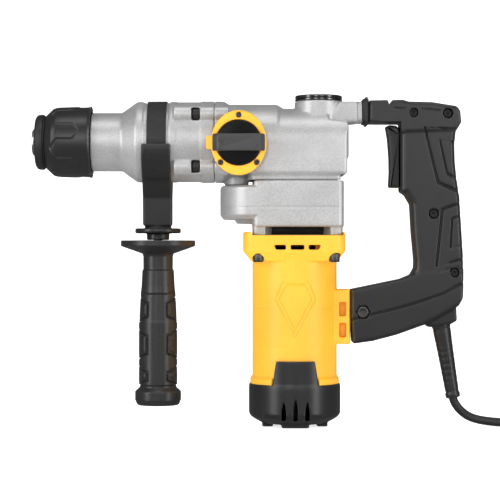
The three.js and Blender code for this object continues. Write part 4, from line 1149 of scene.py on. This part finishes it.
def makeNeckRing(n):
    levels = [(rounded(box2d(-half, half, low, high), n["corner"], 6), x)
              for x, half, low, high in n["levels"]]
    return machined(carve(stacked(levels, "x"), rod(*n["bore"], "x", (0, n["boreZ"]), 32)), 0.2)


piece(makeTrigger(triggerSizes), "triggerLever", "trigger", "gripRubber", "black_plastic", "trigger")
piece(makeNeckRing(neckRingSizes), "neckSeal", "machine", "blackRubber", "black_rubber", "neck_ring")

# side handle

sideX = -122.8


clampBandSizes = {"inside": 35.8, "outside": 36.6, "half": 8.6}


def makeClampBand(c):
    profile = rounded(box2d(c["inside"], c["outside"], sideX - c["half"], sideX + c["half"]), 0.2, 2)
    return lathe(profile + profile[:1], "x", (0, chuckZ), 120)


clampBracketSizes = {
    "radius": 40.2, "drop": 3.4, "arc": 54.4, "waist": [(13.5, chuckZ - 50), (12, chuckZ - 75.3)],
    "saddle": (sideX - 13.1, sideX + 12.6), "edge": 1.8,
    "flange": [(0, 172.8), (20.5, 172.8), (20.5, 177.2), (0, 177.2)],
    "stem": (11.8, 176.7, 190), "neck": (10.1, 166.8, 173.7), "barrel": 37.3,
    "bore": (4.3, 130, 225), "seat": 7.6, "seatEnds": (212.2, 225),
}


def makeClampBracket(c):
    at = (sideX, 0)
    line = [(c["radius"] * math.cos(a), chuckZ - c["drop"] + c["radius"] * math.sin(a))
            for a in (math.radians(-c["arc"] * k / 8) for k in range(9))]
    line += c["waist"]
    outline = line + [(-y, z) for y, z in reversed(line)]
    saddle = softPrism(outline, *c["saddle"], c["edge"], "x")
    flange = lathe(rounded(c["flange"], [0, 1.2, 1.2, 0]), "z", at)
    stem = rod(*c["stem"], "z", at)
    neck = rod(*c["neck"], "z", at)
    barrel = rod(c["barrel"], sideX - 40, sideX + 40, "x", (0, chuckZ), 120)
    bore = rod(*c["bore"], "z", at, 32)
    seat = prism(hexagon(at, c["seat"]), *c["seatEnds"], "z")
    return moulded(carve(merge(saddle, flange, stem, neck), barrel, bore, seat), 0.7, 3, 0.55)


sideGripSizes = {
    "profile": [
        (4.6, 166.4), (33, 166.4), (33.4, 166), (33.4, 161.6), (33, 161.2), (30, 160.1), (14.4, 154.6),
        (13.75, 153.8), (13.3, 152), (13.25, 141), (13.6, 140), (14.2, 139.4), (14.9, 125), (15.7, 118),
        (16.8, 95), (17.25, 93), (17.25, 37.2), (16.5, 36.4), (16.6, 34.6), (20, 31.6), (20.65, 30.6),
        (20.65, 23.4), (20, 21.8), (18.8, 19.2), (17.6, 18.6), (0, 18.6), (0, 127.7), (4.6, 127.7),
        (4.6, 166.4),
    ],
    "pads": ((104.3, 11.4), (73.4, 13.5), (45, 9.0)),  # middle height and half height
    "spread": 58, "groove": 1.7, "deep": 1.5,
}


def makeSideGrip(g):
    def relief(radius, place, degrees):
        if radius < 12.9 or not 34 < place < 121:
            return radius
        off = min(abs((degrees + 180) % 360 - 180), abs(degrees - 180))
        share = off / g["spread"]
        cut = 0
        for middle, half in g["pads"]:
            if share > 1.08:
                continue
            edge = half - 5.5 * min(1, share)
            inside = min(edge - abs(place - middle), (g["spread"] - off) * 0.29)
            near = 1 - abs(inside) / (g["groove"] / 2 + 0.3)
            cut = max(cut, min(1, max(0, near * 1.6)) * g["deep"])
            inner = 1 - abs(inside - 2.6) / 0.7
            cut = max(cut, min(1, max(0, inner * 1.5)) * 0.45)
        rise = 118.5 + 3.5 * max(0, 1 - share)
        cut = max(cut, max(0, 1 - abs(place - rise) / 0.8) * 0.7)
        return radius - cut

    profile = fineProfile(g["profile"][:25], 0.55) + [(0, 127.7), (4.6, 127.7), (4.6, 166.4)]
    grip = lathe(profile, "z", (sideX, 0), 240, relief)
    grip.data.shade_smooth()
    grip.data.set_sharp_from_angle(angle=math.radians(48))
    return grip


piece(makeClampBand(clampBandSizes), "clampHoop", "side_clamp", "paintedSteel", "dark_steel", "clamp_band")
piece(makeClampBracket(clampBracketSizes), "clampSaddle", "side_clamp", "blackPlastic", "black_plastic",
      "clamp_bracket")
piece(makeSideGrip(sideGripSizes), "sideGripHandle", "side_grip", "gripRubber", "black_rubber", "side_grip")

# pieces inside that keep their shape, and only need their finish

insideFinishes = {
    "brightSteel": ["chuck_spring", "cylinder_tube", "piston", "striker", "impact_bolt", "spindle_bearing",
                    "motor_shaft", "lower_bearing", "upper_bearing"],
    "darkSteel": ["connecting_rod", "bevel_ring_gear", "bevel_shaft", "intermediate_gear", "crank_gear",
                  "clamp_stud"],
    "lamination": ["stator"],
    "copperWinding": ["armature_core", "commutator"],
    "blackPlastic": ["cooling_fan", "switch_body"],
    "carbon": ["brush_left", "brush_right"],
}


def dressInside(finishesByName):
    for finish, names in finishesByName.items():
        for name in names:
            obj = bpy.data.objects[name]
            obj.data.materials.clear()
            obj.data.materials.append(materials[finish])
            edge = obj.modifiers.new("edge", "BEVEL")
            edge.width = 0.25 * mm
            edge.limit_method = "ANGLE"
            edge.angle_limit = math.radians(50)


dressInside(insideFinishes)
print("inside pieces finished")

# studio

studioSizes = {
    "floor": (-4, 1.4), "half": 5, "curve": 0.9, "wall": 3.5,
    "lamps": [  # place, aim, size, watts
        ((-1.35, -0.95, 0.45), (-0.05, 0, 0.17), (0.4, 1.5), 15.5),
        ((1.3, -0.95, 0.4), (-0.05, 0, 0.17), (0.35, 1.5), 13),
        ((0, -0.45, 1.7), (-0.05, 0, 0.2), (1.2, 0.5), 8),
        ((-0.55, -2.2, 0.75), (-0.05, 0, 0.17), (0.35, 1.0), 8.5),
        ((0.6, -2.2, 0.7), (-0.05, 0, 0.17), (0.3, 1.0), 5.5),
    ],
    "sky": 0.14, "glow": 0.74,
}


def makeStudio(s):
    bm = bmesh.new()
    low, back = s["floor"]
    line = [(low, 0), (back, 0)]
    line += [(back + s["curve"] * math.sin(a), s["curve"] * (1 - math.cos(a)))
             for a in (math.pi / 2 * k / 16 for k in range(1, 17))]
    line.append((back + s["curve"], s["wall"]))
    rows = [[bm.verts.new((x, y, z)) for x in (-s["half"], s["half"])] for y, z in line]
    for one, other in zip(rows, rows[1:]):
        bm.faces.new((one[0], one[1], other[1], other[0]))
    mesh = bpy.data.meshes.new("studioFloor")
    bm.to_mesh(mesh)
    bm.free()
    mesh.shade_smooth()
    floor = bpy.data.objects.new("studioFloor", mesh)
    scene.collection.objects.link(floor)
    paper = bpy.data.materials.new("paleFloor")
    paper.use_nodes = True
    shader = paper.node_tree.nodes["Principled BSDF"]
    shader.inputs["Base Color"].default_value = (0.93, 0.93, 0.93, 1)
    shader.inputs["Roughness"].default_value = 0.9
    shader.inputs["Emission Color"].default_value = (1, 1, 1, 1)
    shader.inputs["Emission Strength"].default_value = s["glow"]
    mesh.materials.append(paper)
    floor.visible_glossy = False  # so that black plastics stay black
    for place, aim, size, watts in s["lamps"]:
        data = bpy.data.lights.new("softbox", "AREA")
        data.shape = "RECTANGLE"
        data.size, data.size_y = size
        data.energy = watts
        lamp = bpy.data.objects.new("softbox", data)
        scene.collection.objects.link(lamp)
        lamp.location = place
        lamp.rotation_euler = (Vector(aim) - Vector(place)).to_track_quat("-Z", "Y").to_euler()
    world = bpy.data.worlds.new("studio")
    scene.world = world
    world.use_nodes = True
    sky = world.node_tree.nodes["Background"]
    sky.inputs["Color"].default_value = (1, 1, 1, 1)
    sky.inputs["Strength"].default_value = s["sky"]


makeStudio(studioSizes)
print("studio lit")
